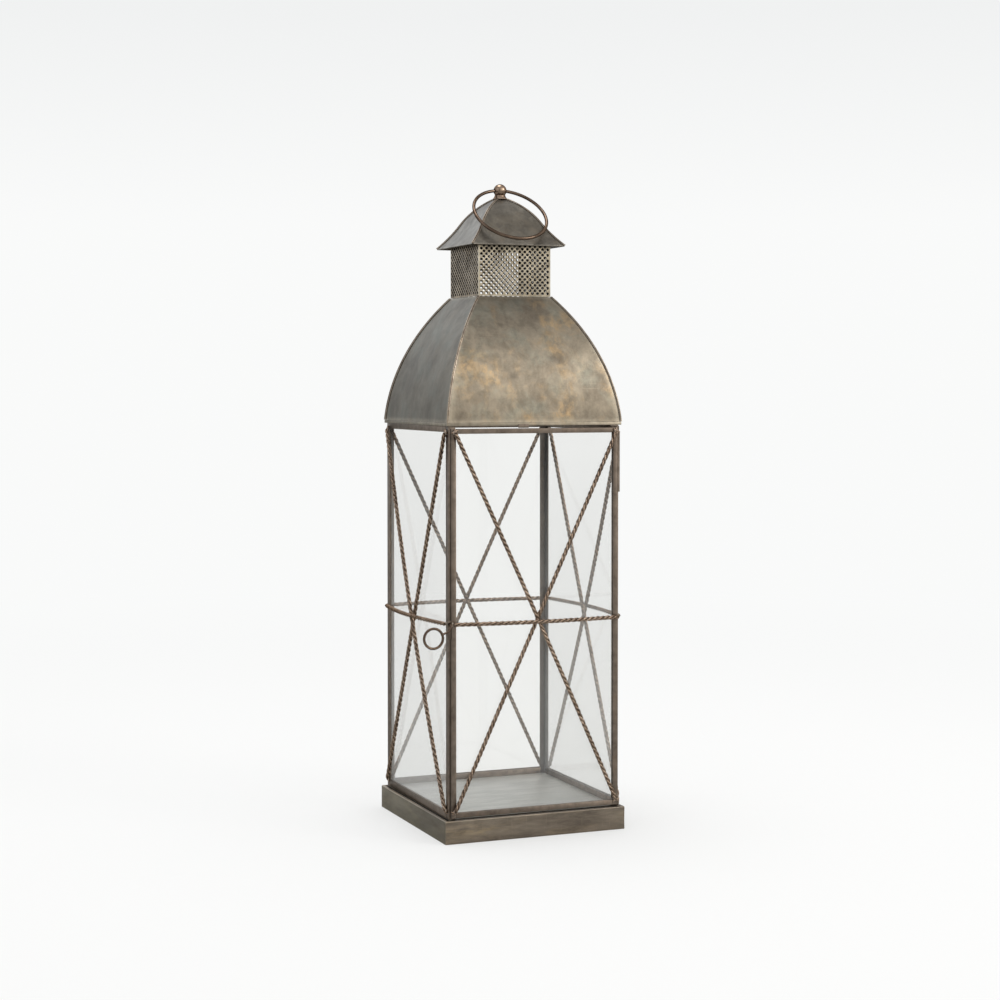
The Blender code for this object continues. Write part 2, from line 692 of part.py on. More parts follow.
def main():
    clear_scene()
    mats = make_materials()
    build_base(mats)
    build_posts(mats)
    build_rails(mats)
    build_panes(mats)
    build_floor(mats)
    for side in FIXED_SIDES:
        build_ropes("rope_" + side + "_", -FRAME_HALF, SIDES[side], mats["rope_copper"])
    build_dome(mats)
    build_shell("dome", dome_outline(), mats["dome_brass"])
    build_neck(mats)
    build_shell("cap", cap_outline(), mats["cap_bronze"])
    build_finial(mats)
    build_handle(mats)
    door_pivot = add_pivot("door_axis", (HINGE_X, HINGE_Y, DOOR_BOTTOM))
    build_door(mats, door_pivot)
    build_hinges(mats, door_pivot)
    build_latch(mats, door_pivot)


main()
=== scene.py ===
"""The looks of the candle lantern: aged brass sheet work, twisted-wire bars, perforated neck,
clear glass, and a pale studio around it. Metres, +Z up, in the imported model's own frame.
"""
import json
import math

import bmesh
import bpy
import numpy as np
from mathutils import Matrix, Vector, noise


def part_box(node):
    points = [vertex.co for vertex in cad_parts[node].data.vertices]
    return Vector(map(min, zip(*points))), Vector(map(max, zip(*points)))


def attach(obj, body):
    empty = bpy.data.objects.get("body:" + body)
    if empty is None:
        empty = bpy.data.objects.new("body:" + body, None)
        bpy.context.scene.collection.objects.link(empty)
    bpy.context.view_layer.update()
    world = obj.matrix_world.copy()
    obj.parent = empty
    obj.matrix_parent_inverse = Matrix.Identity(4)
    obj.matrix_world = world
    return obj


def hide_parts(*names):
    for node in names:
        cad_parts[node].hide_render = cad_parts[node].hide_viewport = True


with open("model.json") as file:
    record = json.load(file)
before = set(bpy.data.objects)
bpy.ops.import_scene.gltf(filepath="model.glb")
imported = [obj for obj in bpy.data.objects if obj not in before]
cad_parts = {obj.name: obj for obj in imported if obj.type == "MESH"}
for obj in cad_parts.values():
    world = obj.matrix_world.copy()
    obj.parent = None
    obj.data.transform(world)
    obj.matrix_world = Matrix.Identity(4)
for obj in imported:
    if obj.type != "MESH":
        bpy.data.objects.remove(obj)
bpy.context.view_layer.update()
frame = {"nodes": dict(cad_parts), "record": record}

NODES = frame["nodes"]
MM = 0.001
SIDES = {"front": 0, "right": 1, "back": 2, "left": 3}  # quarter turns from the front
CORNERS = {"front_left": 0, "front_right": 1, "back_right": 2, "back_left": 3}
SLOTS = {row["node"]: row["material_slot"] for row in frame["record"]["subparts"]}

# ---- twisted wire ----
STRANDS = 3
ROPE_BAR = 2.0 * MM  # the CAD bars' radius
STRAND_RADIUS = 1.10 * MM
LAY_RADIUS = STRAND_RADIUS * 2 / math.sqrt(3)  # strand centres' distance from the rope's
LAY_LENGTH = 20 * MM
STRAND_SIDES = 9
STEPS_PER_TURN = 18
STRAND_TAPER = 2.5 * MM  # length over which the ends draw in
TAIL_DROP = 1.0 * MM  # a splayed strand comes down onto the frame
# the crown value that the wire's material reads: outside of the rope, a cut end, solder; low
# values, in the grooves, get painted shade
ROPE_CROWN, TAIL_CROWN, SOLDER_CROWN = 0.8, 0.78, 1.0
# a strand's cut end: (turn away from the rope, further bend, length in mm)
CORNER_TAILS = ((0.85, 0.9, 4.4), (0.05, -1.3, 4.2), (-0.8, -1.0, 4.6))
LEVEL_TAILS = ((0.8, -2.2, 1.3), (-0.8, 1.8, 1.2))
LEVEL_LUMP = (1.6 * MM, 1.3 * MM, 2.3 * MM)  # solder at a bar's ends
CORNER_LUMP = (2.5 * MM, 1.3 * MM, 2.7 * MM)
# a folded seam's section: (side of the corner, distance from it, height above the sheet), in mm
SEAM_SECTION = (("front", 2.3, 0.3), ("front", 2.45, 0.6), ("front", 2.25, 0.95),
                ("front", 1.5, 1.0), ("front", 1.15, 0.6), ("front", 0.85, 1.05),
                ("front", 0.3, 1.3), ("side", 0.3, 1.3), ("side", 0.85, 1.1),
                ("side", 1.25, 0.95), ("side", 1.45, 0.6), ("side", 1.3, 0.3),
                ("front", 0.0, 0.3))

# ---- perforated neck ----
HOLE_COLUMN = 3.02 * MM  # columns of holes, half a hole apart in height
HOLE_RADIUS = 1.68 * MM
HOLE_ROOM = 0.4 * MM  # how far a cell's corners draw aside for a hole
HOLE_COLUMNS = 27
HOLE_ROWS = 11
NECK_SHEET = 1.15 * MM

# ---- glass and metal looks ----
GLARE_VEIL_RISE = 2.3  # one over the height where the glass's painted reflection veil ends
GLASS_IOR = 1.5
# noise scales of the metal's marks
UPRIGHT_SCRATCHES = 900.0
LEVEL_SCRATCHES = 700.0
BRUSH_MARKS = 150.0
# breaks up the pale edges, which are partly wear and partly painted highlight
EDGE_WEAR_AND_HIGHLIGHT = 160.0
FINE_GRAIN = 2200.0
COAT_ROUGHNESS = 0.32

# ---- curved sheet work, on the CAD panels' own outlines ----
SHEET = 0.8 * MM
MITRE = 0.25 * MM
DOME_RADIUS = 0.2417
DOME_CENTRE = (-0.13984, 0.42527)  # (out, up)
CAP_TOP = (0.0045, 0.6935)
CAP_WAIST = (0.034, 0.666)
CAP_EAVE = (0.0548, 0.6395)
CAP_SLOPES = tuple(math.radians(slope) for slope in (27, 59, 45))  # top, waist, eave
CAP_HEM = 0.6 * MM  # the rolled foot's radius
DOME_DENTS = 0.55 * MM
CAP_DENTS = 0.35 * MM
PANEL_ROWS = 40
PANEL_COLUMNS = 40

# ---- plinth, by distance in from its sides ----
PLINTH_CORNER = 0.9 * MM
PLINTH_ROLL = 1.3 * MM
PLINTH_STEPS = 48
PLINTH_WALL = 1.0 * MM
PLINTH_LIP = 3.2 * MM  # the groove round the frame starts here
PLINTH_LEDGE = 5.5 * MM  # and ends here
PLINTH_GROOVE = 0.85 * MM
PLINTH_OPENING = 0.06  # half the ledge's inner edge, out of sight
PLINTH_DENTS = 0.30 * MM

# ---- ball, handle and latch ----
FOOT_RADIUS = 6.2 * MM
STEM_RADIUS = 3.3 * MM
STEM_LENGTH = 6.0 * MM
# the soldered foot: (share of its radius, height above the stem in mm)
FOOT_SHAPE = ((1.30, -1.8), (1.18, -0.5), (1.05, 0.5), (1.0, 1.3), (0.99, 2.1), (0.93, 2.5))
FOOT_HEIGHT = 2.75 * MM  # the ball's own surface starts here
BALL_BORE = 2.6 * MM
LATCH_RING = 10.5 * MM
LATCH_RING_WIRE = 1.4 * MM
LATCH_RING_PLANE = 1.2 * MM  # the ring's plane, behind its foremost point
LATCH_WIRE = 1.1 * MM
LATCH_JOINT = (0.927, 0, 0.374)  # the way from the ring's centre to the shank's end

# ---- rounded edges of the pieces that keep their CAD shape ----
FOLD_RADIUS = 0.25 * MM
PLATE_EDGE = 0.2 * MM

# ---- camera and studio ----
LENS = 72.01
SENSOR = 36.0
VIEW_TURN = math.radians(22.16)
VIEW_TILT = 0.03053
VIEW_DISTANCE = 2.2372
EYE_HEIGHT = 0.4886
SHIFT = -0.056
BACKDROP = (0.950, 0.956, 0.952)
# the same places as ROOM_TONES', colour the camera sees behind the lantern there
BACKDROP_FALL = ((0.54, BACKDROP), (0.59, (0.875, 0.884, 0.884)))
FLOOR_TONE = (0.40, 0.40, 0.397)
FLOOR_MIRRORED = (0.42, 0.42, 0.41)  # what the metal and glass see of the floor
FLOOR_LIFT = 0.53  # light the floor adds of itself
FLOOR_REACH = 30.0
FLOOR_FADE = (0.5, 2.4)
# (height of the direction from -1 to 1 as 0 to 1, colour of the room there)
ROOM_TONES = [(0.0, (0.28, 0.28, 0.28)), (0.48, (0.31, 0.31, 0.31)), (0.66, (0.40, 0.40, 0.41)),
              (0.82, (0.60, 0.60, 0.61)), (1.0, (0.60, 0.61, 0.62))]
ROOM_SOFT = (0.93, 0.93, 0.93)  # the even light that reaches matt surfaces
# (direction, (cosine at the patch's edge, at its middle), colour added)
ROOM_PATCHES = [((0.05, 0.80, 0.60), (0.75, 0.98), (0.62, 0.65, 0.68)),
                ((-0.42, 0.90, 0.0), (0.75, 0.97), (0.42, 0.43, 0.44)),
                ((0.48, -0.86, 0.15), (0.60, 0.97), (0.79, 0.76, 0.69)),
                ((1.0, 0.15, 0.20), (0.60, 0.95), (0.34, 0.34, 0.33)),
                ((-0.93, -0.25, 0.27), (0.80, 0.98), (0.45, 0.47, 0.50))]
LIGHT_AIM = (0, 0, 0.35)
# name: (place, (width, height), watts, colour)
LIGHTS = {
    "key": ((2.0, -2.2, 1.9), (1.2, 1.2), 20.0, (1.0, 0.97, 0.93)),
    "top": ((-0.2, 0.3, 2.6), (1.1, 1.1), 14.0, (0.98, 0.99, 1.0)),
}


# ---- material nodes ----
def fill_ramp(node, stops):
    """Set a colour ramp's stops, a list of (position, grey or colour). Gives its colour."""
    elements = node.color_ramp.elements
    while len(elements) < len(stops):
        elements.new(0.5)
    for element, (position, tone) in zip(elements, stops):
        element.position = position
        element.color = (*(tone if isinstance(tone, (tuple, list)) else (tone,) * 3), 1.0)
    return node.outputs[0]


class Tree:
    """A material's node tree, with a short way to add nodes and wire them."""

    def __init__(self, name):
        self.mat = bpy.data.materials.new(name)
        self.mat.use_nodes = True
        self.tree = self.mat.node_tree
        self.tree.nodes.clear()
        self.place = self.add("ShaderNodeTexCoord").outputs["Object"]

    def add(self, kind, settings=None, **inputs):
        node = self.tree.nodes.new(kind)
        for key, value in (settings or {}).items():
            setattr(node, key, value)
        for key, value in inputs.items():
            socket = node.inputs[int(key[1:])] if key[0] == "i" and key[1:].isdigit() \
                else node.inputs[key.replace("_", " ")]
            if isinstance(value, bpy.types.NodeSocket):
                self.tree.links.new(value, socket)
            else:
                socket.default_value = value
        return node

    def noise(self, scale, detail=5.0, rough=0.55, stretch=(1, 1, 1), shift=(0, 0, 0),
              distortion=0.0):
        spot = self.add("ShaderNodeMapping", Vector=self.place, Scale=stretch, Location=shift)
        texture = self.add("ShaderNodeTexNoise", Vector=spot.outputs[0], Scale=scale,
                           Detail=detail, Roughness=rough, Distortion=distortion)
        return texture.outputs[0]

    def ramp(self, value, stops):
        return fill_ramp(self.add("ShaderNodeValToRGB", i0=value), stops)

    def blend(self, factor, first, second, mode="MIX"):
        node = self.add("ShaderNodeMix", {"data_type": "RGBA", "blend_type": mode}, i0=factor)
        for socket, value in ((node.inputs[6], first), (node.inputs[7], second)):
            if isinstance(value, bpy.types.NodeSocket):
                self.tree.links.new(value, socket)
            else:
                socket.default_value = (*value, 1.0)
        return node.outputs[2]

    def math(self, operation, first, second=0.0):
        return self.add("ShaderNodeMath", {"operation": operation}, i0=first, i1=second).outputs[0]

    def bump(self, height, distance, strength=1.0, normal=None):
        node = self.add("ShaderNodeBump", Strength=strength, Distance=distance, Height=height)
        if normal:
            self.tree.links.new(normal, node.inputs["Normal"])
        return node.outputs[0]

    def finish(self, shader):
        self.add("ShaderNodeOutputMaterial", Surface=shader.outputs[0])
        return self.mat


def patina(name, dark, mid, light, glow, patch, streak=(1, 1, 1), rough=(0.34, 0.56),
           metal=0.85, wear_and_highlight=0.5, seed=0.0, glow_amount=0.8, side=(1.0, 1.0, 1.0),
           side_glow=1.0, brush=0.0, coat=0.0, bloom=None, contrast=1.0, mottle=0.0, rim=0.6):
    """Aged metal: soft clouds of dark, mid and light tone, rubbed patches in the glow colour,
    pale bloom, hair scratches, fine grain, and paler metal on convex edges, partly wear and
    partly a painted highlight. side tints the faces turned to +-X as painted shade or painted
    light, and side_glow dims the rubbed patches there as part of it. brush is the strength of
    upright brush marks, mottle that of small stains, and rim the share of light that glances
    off at the edges."""
    t = Tree(name)
    shift = (seed, seed * 1.7, -seed * 0.6)
    broad = t.noise(patch * 0.33, 2.0, 0.5, streak, shift, 0.5)
    cloud = t.noise(patch, 7.0, 0.60, streak, shift, 0.35)
    spread = 0.17 / contrast
    tone = t.ramp(cloud, [(0.5 - spread, dark), (0.5, mid), (0.5 + spread, light)])
    tone = t.blend(t.ramp(broad, [(0.36, 0.28), (0.60, 0.0)]), tone, dark)
    fleck = t.noise(patch * 3.6, 6.0, 0.66, streak, shift, 0.4)
    rubbed = t.ramp(t.noise(patch * 0.75, 6.0, 0.62, streak, tuple(3 + v for v in shift), 0.4),
                    [(0.49, 0.0), (0.66, glow_amount)])
    geometry = t.add("ShaderNodeNewGeometry")
    facing = t.add("ShaderNodeSeparateXYZ", i0=geometry.outputs["True Normal"]).outputs[0]
    sideways = t.ramp(t.math("ABSOLUTE", facing), [(0.45, 0.0), (0.75, 1.0)])
    rubbed = t.math("MULTIPLY", rubbed, t.ramp(fleck, [(0.42, 0.1), (0.58, 1.0)]))
    # Painted shade: side_glow dims the rubbed patches on the faces turned to +-X.
    tone = t.blend(t.math("MULTIPLY", rubbed, t.ramp(sideways, [(0.0, 1.0), (1.0, side_glow)])),
                   tone, glow)
    if bloom:
        pale = t.ramp(t.noise(patch * 1.3, 6.0, 0.62, streak, tuple(9 - v for v in shift), 0.3),
                      [(0.50, 0.0), (0.66, 0.6)])
        tone = t.blend(pale, tone, bloom)
    if mottle:
        stain = t.noise(patch * 2.6, 7.0, 0.70, streak, tuple(5 + v for v in shift), 0.4)
        shade = t.ramp(stain, [(0.36, 1.0 - mottle), (0.50, 0.92), (0.64, 1.0 + 0.35 * mottle)])
        tone = t.blend(t.ramp(sideways, [(0.0, 1.0), (1.0, 0.25)]), tone,
                       t.blend(1.0, tone, shade, "MULTIPLY"))
    scratch = t.noise(UPRIGHT_SCRATCHES, 2.0, 0.5, (1.0, 1.0, 0.04), shift)
    cross = t.noise(LEVEL_SCRATCHES, 2.0, 0.5, (0.05, 0.05, 1.0), shift)
    marks = t.math("MAXIMUM", t.ramp(scratch, [(0.66, 0.0), (0.74, 1.0)]),
                   t.ramp(cross, [(0.68, 0.0), (0.76, 1.0)]))
    tone = t.blend(t.math("MULTIPLY", marks, 0.16), tone, tuple(min(1.0, 1.6 * c) for c in light))
    # Painted shade or painted light: the faces turned to +-X take the side tint.
    tone = t.blend(sideways, tone, t.blend(1.0, tone, side, "MULTIPLY"))
    if brush:
        stroke = t.noise(BRUSH_MARKS, 4.0, 0.6, (1.0, 1.0, 0.09), shift, 0.3)
        shade = t.ramp(stroke, [(0.32, 1.0 - brush), (0.68, 1.0)])
        tone = t.blend(t.ramp(sideways, [(0.0, 0.4), (1.0, 1.0)]), tone,
                       t.blend(1.0, tone, shade, "MULTIPLY"))
    grain = t.noise(FINE_GRAIN, 2.0, 0.6)
    tone = t.blend(0.25, tone, t.ramp(grain, [(0.3, 0.7), (0.7, 1.0)]), "MULTIPLY")
    # Paler metal on convex edges: partly wear, partly a painted highlight.
    edge = t.ramp(geometry.outputs["Pointiness"], [(0.515, 0.0), (0.60, wear_and_highlight)])
    worn_and_highlit = t.math("MULTIPLY", edge, t.ramp(t.noise(EDGE_WEAR_AND_HIGHLIGHT, 4.0), [(0.3, 0.35), (0.7, 1.0)]))
    tone = t.blend(worn_and_highlit, tone, tuple(min(1.0, 1.7 * c + 0.06) for c in light))
    low, high = rough
    roughness = t.ramp(t.blend(0.5, cloud, fleck), [(0.35, high), (0.62, low)])
    normal = t.bump(grain, 0.00004, 0.25)
    normal = t.bump(fleck, 0.00012, 0.35, normal)
    normal = t.bump(marks, 0.00002, 0.5, normal)
    shader = t.add("ShaderNodeBsdfPrincipled", Base_Color=tone, Metallic=metal,
                   Roughness=roughness, Normal=normal)
    shader.inputs["Specular Tint"].default_value = (rim, rim, rim, 1.0)
    shader.inputs["Coat Weight"].default_value = coat
    shader.inputs["Coat Roughness"].default_value = COAT_ROUGHNESS
    return t.finish(shader)


def wire_material():
    """The ropes' copper-brown wire: painted shade, near black, in the grooves between strands,
    bright on the crowns, and pale where solder holds the ends. The mesh says how deep each
    point lies."""
    t = Tree("twisted_wire")
    depth = t.add("ShaderNodeAttribute", {"attribute_name": "crown"}).outputs["Fac"]
    cloud = t.noise(75.0, 5.0, 0.6, (1, 1, 1), (1.3, 2.0, 0.4), 0.8)
    fleck = t.noise(520.0, 4.0, 0.6)
    brown = t.ramp(cloud, [(0.32, (0.175, 0.121, 0.088)), (0.52, (0.330, 0.240, 0.178)),
                           (0.70, (0.540, 0.412, 0.314))])
    brown = t.blend(t.ramp(fleck, [(0.45, 0.0), (0.72, 0.55)]), brown, (0.760, 0.590, 0.450))
    # Painted shade: near black in the grooves between strands, by the crown value.
    tone = t.blend(t.ramp(depth, [(0.38, 1.0), (0.72, 0.0)]), brown, (0.014, 0.010, 0.008))
    solder = t.blend(t.ramp(fleck, [(0.3, 0.0), (0.7, 1.0)]), (0.30, 0.25, 0.20),
                     (0.58, 0.50, 0.42))
    tone = t.blend(t.ramp(depth, [(0.85, 0.0), (0.95, 0.8)]), tone, solder)
    roughness = t.ramp(fleck, [(0.3, 0.22), (0.72, 0.36)])
    shader = t.add("ShaderNodeBsdfPrincipled", Base_Color=tone, Metallic=0.95,
                   Roughness=roughness, Normal=t.bump(fleck, 0.00012, 0.4))
    shader.inputs["Specular Tint"].default_value = (0.25, 0.22, 0.20, 1.0)
    return t.finish(shader)


def glass_material():
    """Thin clear glass: mostly see-through, mirror-like at a slant, with faint smears and a pale
    diffuse veil that is painted reflection, heavier towards the foot and on the panes turned
    to +-X."""
    t = Tree("clear_glass")
    entry = t.math("SUBTRACT", 1.0, t.add("ShaderNodeNewGeometry").outputs["Backfacing"])
    shine = t.math("MULTIPLY", entry, t.add("ShaderNodeFresnel", IOR=GLASS_IOR).outputs[0])
    clear = t.add("ShaderNodeBsdfTransparent", Color=(0.994, 0.995, 0.992, 1.0))
    mirror = t.add("ShaderNodeBsdfAnisotropic", Color=(0.97, 0.98, 0.97, 1.0), Roughness=0.02)
    haze = t.add("ShaderNodeBsdfDiffuse", Color=(0.99, 0.995, 0.985, 1.0))
    smear = t.noise(11.0, 4.0, 0.5, (1.0, 1.0, 0.4), (4.0, 1.0, 2.0), 0.3)
    parts = t.add("ShaderNodeSeparateXYZ", i0=t.place)
    low = t.ramp(t.math("MULTIPLY", parts.outputs["Z"], GLARE_VEIL_RISE), [(0.08, 1.0), (0.95, 0.0)])
    turned = t.add("ShaderNodeNewGeometry").outputs["True Normal"]
    sideways = t.math("ABSOLUTE", t.add("ShaderNodeSeparateXYZ", i0=turned).outputs[0])
    # Painted reflection: a pale veil, heavier towards the foot and on the panes turned to +-X; the
    # smears are real.
    glare_on_sides = t.ramp(sideways, [(0.3, 0.05), (0.7, 0.19)])
    glare_veil_and_smears = t.math("ADD", t.math("MULTIPLY", low, glare_on_sides),
                  t.ramp(smear, [(0.35, 0.002), (0.7, 0.012)]))
    seen = t.add("ShaderNodeMixShader", i0=glare_veil_and_smears, i1=clear.outputs[0], i2=haze.outputs[0])
    both = t.add("ShaderNodeMixShader", i0=shine, i1=seen.outputs[0], i2=mirror.outputs[0])
    return t.finish(both)


def tin_material():
    """The floor plate's dull tinned sheet, with faint wipe marks."""
    t = Tree("floor_tin")
    wipe = t.noise(26.0, 6.0, 0.6, (1.0, 3.5, 1.0), (2.0, 0.0, 0.0), 0.8)
    tone = t.ramp(wipe, [(0.3, (0.37, 0.37, 0.342)), (0.7, (0.58, 0.575, 0.537))])
    rough = t.ramp(wipe, [(0.3, 0.36), (0.7, 0.50)])
    normal = t.bump(t.noise(900.0, 3.0), 0.00003, 0.4)
    shader = t.add("ShaderNodeBsdfPrincipled", Base_Color=tone, Metallic=0.3,
                   Roughness=rough, Normal=normal)
    return t.finish(shader)


def make_materials():
    return {
        # side= below 1 is painted shade and above 1 painted light on the faces turned to +-X;
        # side_glow dims the rubbed patches there with it.
        "plinth_brass": patina("plinth_brass", (0.215, 0.176, 0.140), (0.300, 0.252, 0.198),
                               (0.400, 0.342, 0.270), (0.500, 0.385, 0.240), 30.0,
                               (0.4, 0.4, 1.8), (0.34, 0.50), seed=3.1, glow_amount=0.6,
                               side=(0.90, 0.96, 0.96), side_glow=0.6, coat=0.25, wear_and_highlight=1.0,
                               contrast=1.0, mottle=0.30),
        "frame_brass": patina("frame_brass", (0.080, 0.060, 0.045), (0.133, 0.102, 0.080),
                              (0.206, 0.163, 0.127), (0.260, 0.178, 0.118), 60.0,
                              (1.3, 1.3, 0.5), (0.28, 0.44), wear_and_highlight=1.0, seed=7.7,
                              side=(0.80, 0.84, 0.86), coat=0.15, contrast=0.55),
        "twisted_wire": wire_material(),
        "dome_brass": patina("dome_brass", (0.190, 0.157, 0.116), (0.283, 0.240, 0.179),
                             (0.346, 0.297, 0.224), (0.470, 0.322, 0.165), 30.0,
                             (1.0, 1.0, 0.85), (0.30, 0.44), seed=5.3, glow_amount=0.75,
                             side=(0.58, 0.62, 0.64), side_glow=0.2, brush=0.16, coat=0.3,
                             bloom=(0.275, 0.272, 0.218), contrast=0.85, mottle=0.28),
        "seam_brass": patina("seam_brass", (0.105, 0.082, 0.063), (0.190, 0.155, 0.122),
                             (0.320, 0.268, 0.212), (0.400, 0.310, 0.215), 60.0,
                             (1, 1, 1), (0.24, 0.38), seed=1.8, glow_amount=0.7, wear_and_highlight=1.0,
                             side=(0.85, 0.85, 0.86)),
        "vent_mesh": patina("vent_mesh", (0.250, 0.210, 0.155), (0.450, 0.390, 0.295),
                            (0.700, 0.625, 0.490), (0.700, 0.560, 0.370), 60.0,
                            (1, 1, 1), (0.26, 0.40), seed=5.2, side=(0.80, 0.77, 0.77),
                            glow_amount=0.5, mottle=0.35),
        # Painted shade: near-black matt sheet for the neck's inner faces and hole walls and the
        # plinth's groove.
        "vent_inside": patina("vent_inside", (0.006, 0.005, 0.004), (0.010, 0.008, 0.006),
                              (0.016, 0.013, 0.010), (0.024, 0.018, 0.012), 40.0,
                              seed=6.0, rough=(0.6, 0.8), metal=0.2),
        "cap_bronze": patina("cap_bronze", (0.140, 0.122, 0.097), (0.190, 0.168, 0.135),
                             (0.242, 0.218, 0.178), (0.292, 0.223, 0.146), 34.0,
                             (1, 1, 1), (0.32, 0.46), seed=9.9, glow_amount=0.45,
                             side=(1.60, 1.70, 1.85), side_glow=0.1, brush=0.45, coat=0.3,
                             mottle=0.30),
        "finial_brass": patina("finial_brass", (0.170, 0.115, 0.080), (0.290, 0.205, 0.148),
                               (0.430, 0.320, 0.235), (0.560, 0.420, 0.290), 60.0,
                               (1, 1, 1), (0.12, 0.22), metal=0.95, seed=2.2, glow_amount=0.4,
                               rim=0.08),
        "ring_copper": patina("ring_copper", (0.090, 0.060, 0.044), (0.143, 0.099, 0.072),
                              (0.225, 0.162, 0.119), (0.330, 0.243, 0.172), 45.0,
                              (1, 1, 1), (0.10, 0.20), metal=0.95, seed=4.4, glow_amount=0.5,
                              rim=0.08),
        "floor_tin": tin_material(),
        "clear_glass": glass_material(),
    }


# ---- pieces ----
def add_piece(name, verts, faces, mats, nodes, body, smooth=True, sharp=40, inside=None,
              crown=None, look=None):
    """A new mesh piece that stands for CAD nodes and rides on their body. inside marks the faces
    of the second material, a near-black painted shade, crown is a number for each vertex, and
    look names a material other than the slot's own."""
    mesh = bpy.data.meshes.new(name)
    mesh.from_pydata([tuple(v) for v in verts], [], faces)
    slot = SLOTS[nodes[0]]
    mesh.materials.append(mats[look or slot])
    # The second material is a near-black painted shade.
    if inside is not None:
        mesh.materials.append(mats["vent_inside"])
        mesh.polygons.foreach_set("material_index", inside)
    if crown is not None:
        mesh.attributes.new("crown", "FLOAT", "POINT").data.foreach_set("value", crown)
    bm = bmesh.new()
    bm.from_mesh(mesh)
    bmesh.ops.remove_doubles(bm, verts=bm.verts, dist=0.00001)
    bmesh.ops.recalc_face_normals(bm, faces=bm.faces)
    bm.to_mesh(mesh)
    bm.free()
    if smooth:
        mesh.shade_smooth()
        mesh.set_sharp_from_angle(angle=math.radians(sharp))
    piece = bpy.data.objects.new(name, mesh)
    bpy.context.scene.collection.objects.link(piece)
    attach(piece, body)
    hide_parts(*nodes)
    return piece


def turn(points, quarters):
    """Points turned about the lantern's axis, from the front to another side or corner."""
    matrix = np.array(Matrix.Rotation(quarters * math.pi / 2, 3, "Z"))
    return np.asarray(points, float) @ matrix.T


def carry_frames(path):
    """Headings and two square directions along a path, carried without twist."""
    path = np.asarray(path, float)
    heading = np.gradient(path, axis=0)
    heading /= np.linalg.norm(heading, axis=1)[:, None]
    across = np.zeros_like(path)
    last = np.eye(3)[np.argmin(np.abs(heading[0]))]
    for i, along in enumerate(heading):
        last = last - last.dot(along) * along
        last = last / np.linalg.norm(last)
        across[i] = last
    return heading, across, np.cross(heading, across)


def ring_band(near, far, sides):
    """Faces between two rings of vertices, given by their places in a row of rings."""
    return [(near * sides + i, near * sides + (i + 1) % sides, far * sides + (i + 1) % sides,
             far * sides + i) for i in range(sides)]


def band_faces(rings, sides, closed=False):
    """Faces along a row of rings, and back to the first if closed."""
    faces = []
    for k in range(rings if closed else rings - 1):
        faces += ring_band(k, (k + 1) % rings, sides)
    return faces


def tube(path, radius, sides):
    """Vertices and faces of a round bar. radius is a number or one for each point."""
    path = np.asarray(path, float)
    _, across, up = carry_frames(path)
    radius = np.broadcast_to(np.asarray(radius, float), (len(path),))
    angle = np.linspace(0, 2 * math.pi, sides, endpoint=False)
    ring = (np.cos(angle)[None, :, None] * across[:, None, :]
            + np.sin(angle)[None, :, None] * up[:, None, :])
    verts = (path[:, None, :] + radius[:, None, None] * ring).reshape(-1, 3)
    faces = band_faces(len(path), sides)
    faces.append(tuple(range(sides))[::-1])
    faces.append(tuple(range((len(path) - 1) * sides, len(path) * sides)))
    return verts, faces


def hoop(centre, radius, wire, down, steps, sides):
    """Vertices and faces of a wire ring that lies along X and along down."""
    across = np.array([1.0, 0, 0])
    angle = np.linspace(0, 2 * math.pi, steps, endpoint=False)
    out = np.cos(angle)[:, None] * across + np.sin(angle)[:, None] * down
    square = np.cross(across, down)
    about = np.linspace(0, 2 * math.pi, sides, endpoint=False)
    ring = (np.cos(about)[None, :, None] * out[:, None, :]
            + np.sin(about)[None, :, None] * square[None, None, :])
    verts = centre + radius * out[:, None, :] + wire * ring
    return verts.reshape(-1, 3), band_faces(steps, sides, closed=True)


def join_parts(parts):
    """Several (verts, faces) as one."""
    verts, faces, base = [], [], 0
    for part_verts, part_faces in parts:
        verts.append(np.asarray(part_verts, float))
        faces += [tuple(base + i for i in face) for face in part_faces]
        base += len(part_verts)
    return np.concatenate(verts), faces


def blob(centre, size, seed):
    """A lump of solder: an uneven flattened ball."""
    rings, sides = 8, 12
    verts = []
    for i in range(rings + 1):
        high = math.pi * i / rings
        for j in range(sides):
            round_about = 2 * math.pi * j / sides
            out = Vector((math.sin(high) * math.cos(round_about),
                          math.sin(high) * math.sin(round_about), math.cos(high)))
            swell = 1 + 0.28 * noise.noise(out * 1.6 + Vector((seed, -seed, seed * 0.5)))
            verts.append([centre[k] + size[k] * out[k] * swell for k in range(3)])
    return np.array(verts), band_faces(rings + 1, sides)


# ---- ropes ----
def strands(path):
    """Strands laid round a centre line, which draw in at the ends. Each comes with a crown
    value: 0 in the groove between strands, up to ROPE_CROWN on the outside."""
    path = np.asarray(path, float)
    _, across, up = carry_frames(path)
    step = np.linalg.norm(np.diff(path, axis=0), axis=1)
    run = np.concatenate([[0], np.cumsum(step)])
    edge = np.clip(np.minimum(run, run[-1] - run) / STRAND_TAPER, 0, 1)
    squeeze = 0.6 + 0.4 * edge
    reach = LAY_RADIUS + STRAND_RADIUS
    made, crowns = [], []
    for k in range(STRANDS):
        angle = -2 * math.pi * run / LAY_LENGTH + 2 * math.pi * k / STRANDS
        centre = path + LAY_RADIUS * squeeze[:, None] * (
            np.cos(angle)[:, None] * across + np.sin(angle)[:, None] * up)
        verts, faces = tube(centre, STRAND_RADIUS * (0.6 + 0.4 * edge ** 0.5), STRAND_SIDES)
        made.append((verts, faces))
        away = np.linalg.norm(verts.reshape(len(path), STRAND_SIDES, 3) - path[:, None, :],
                              axis=2) / reach
        crowns.append(ROPE_CROWN * np.clip(away, 0, 1).reshape(-1))
    return made, crowns


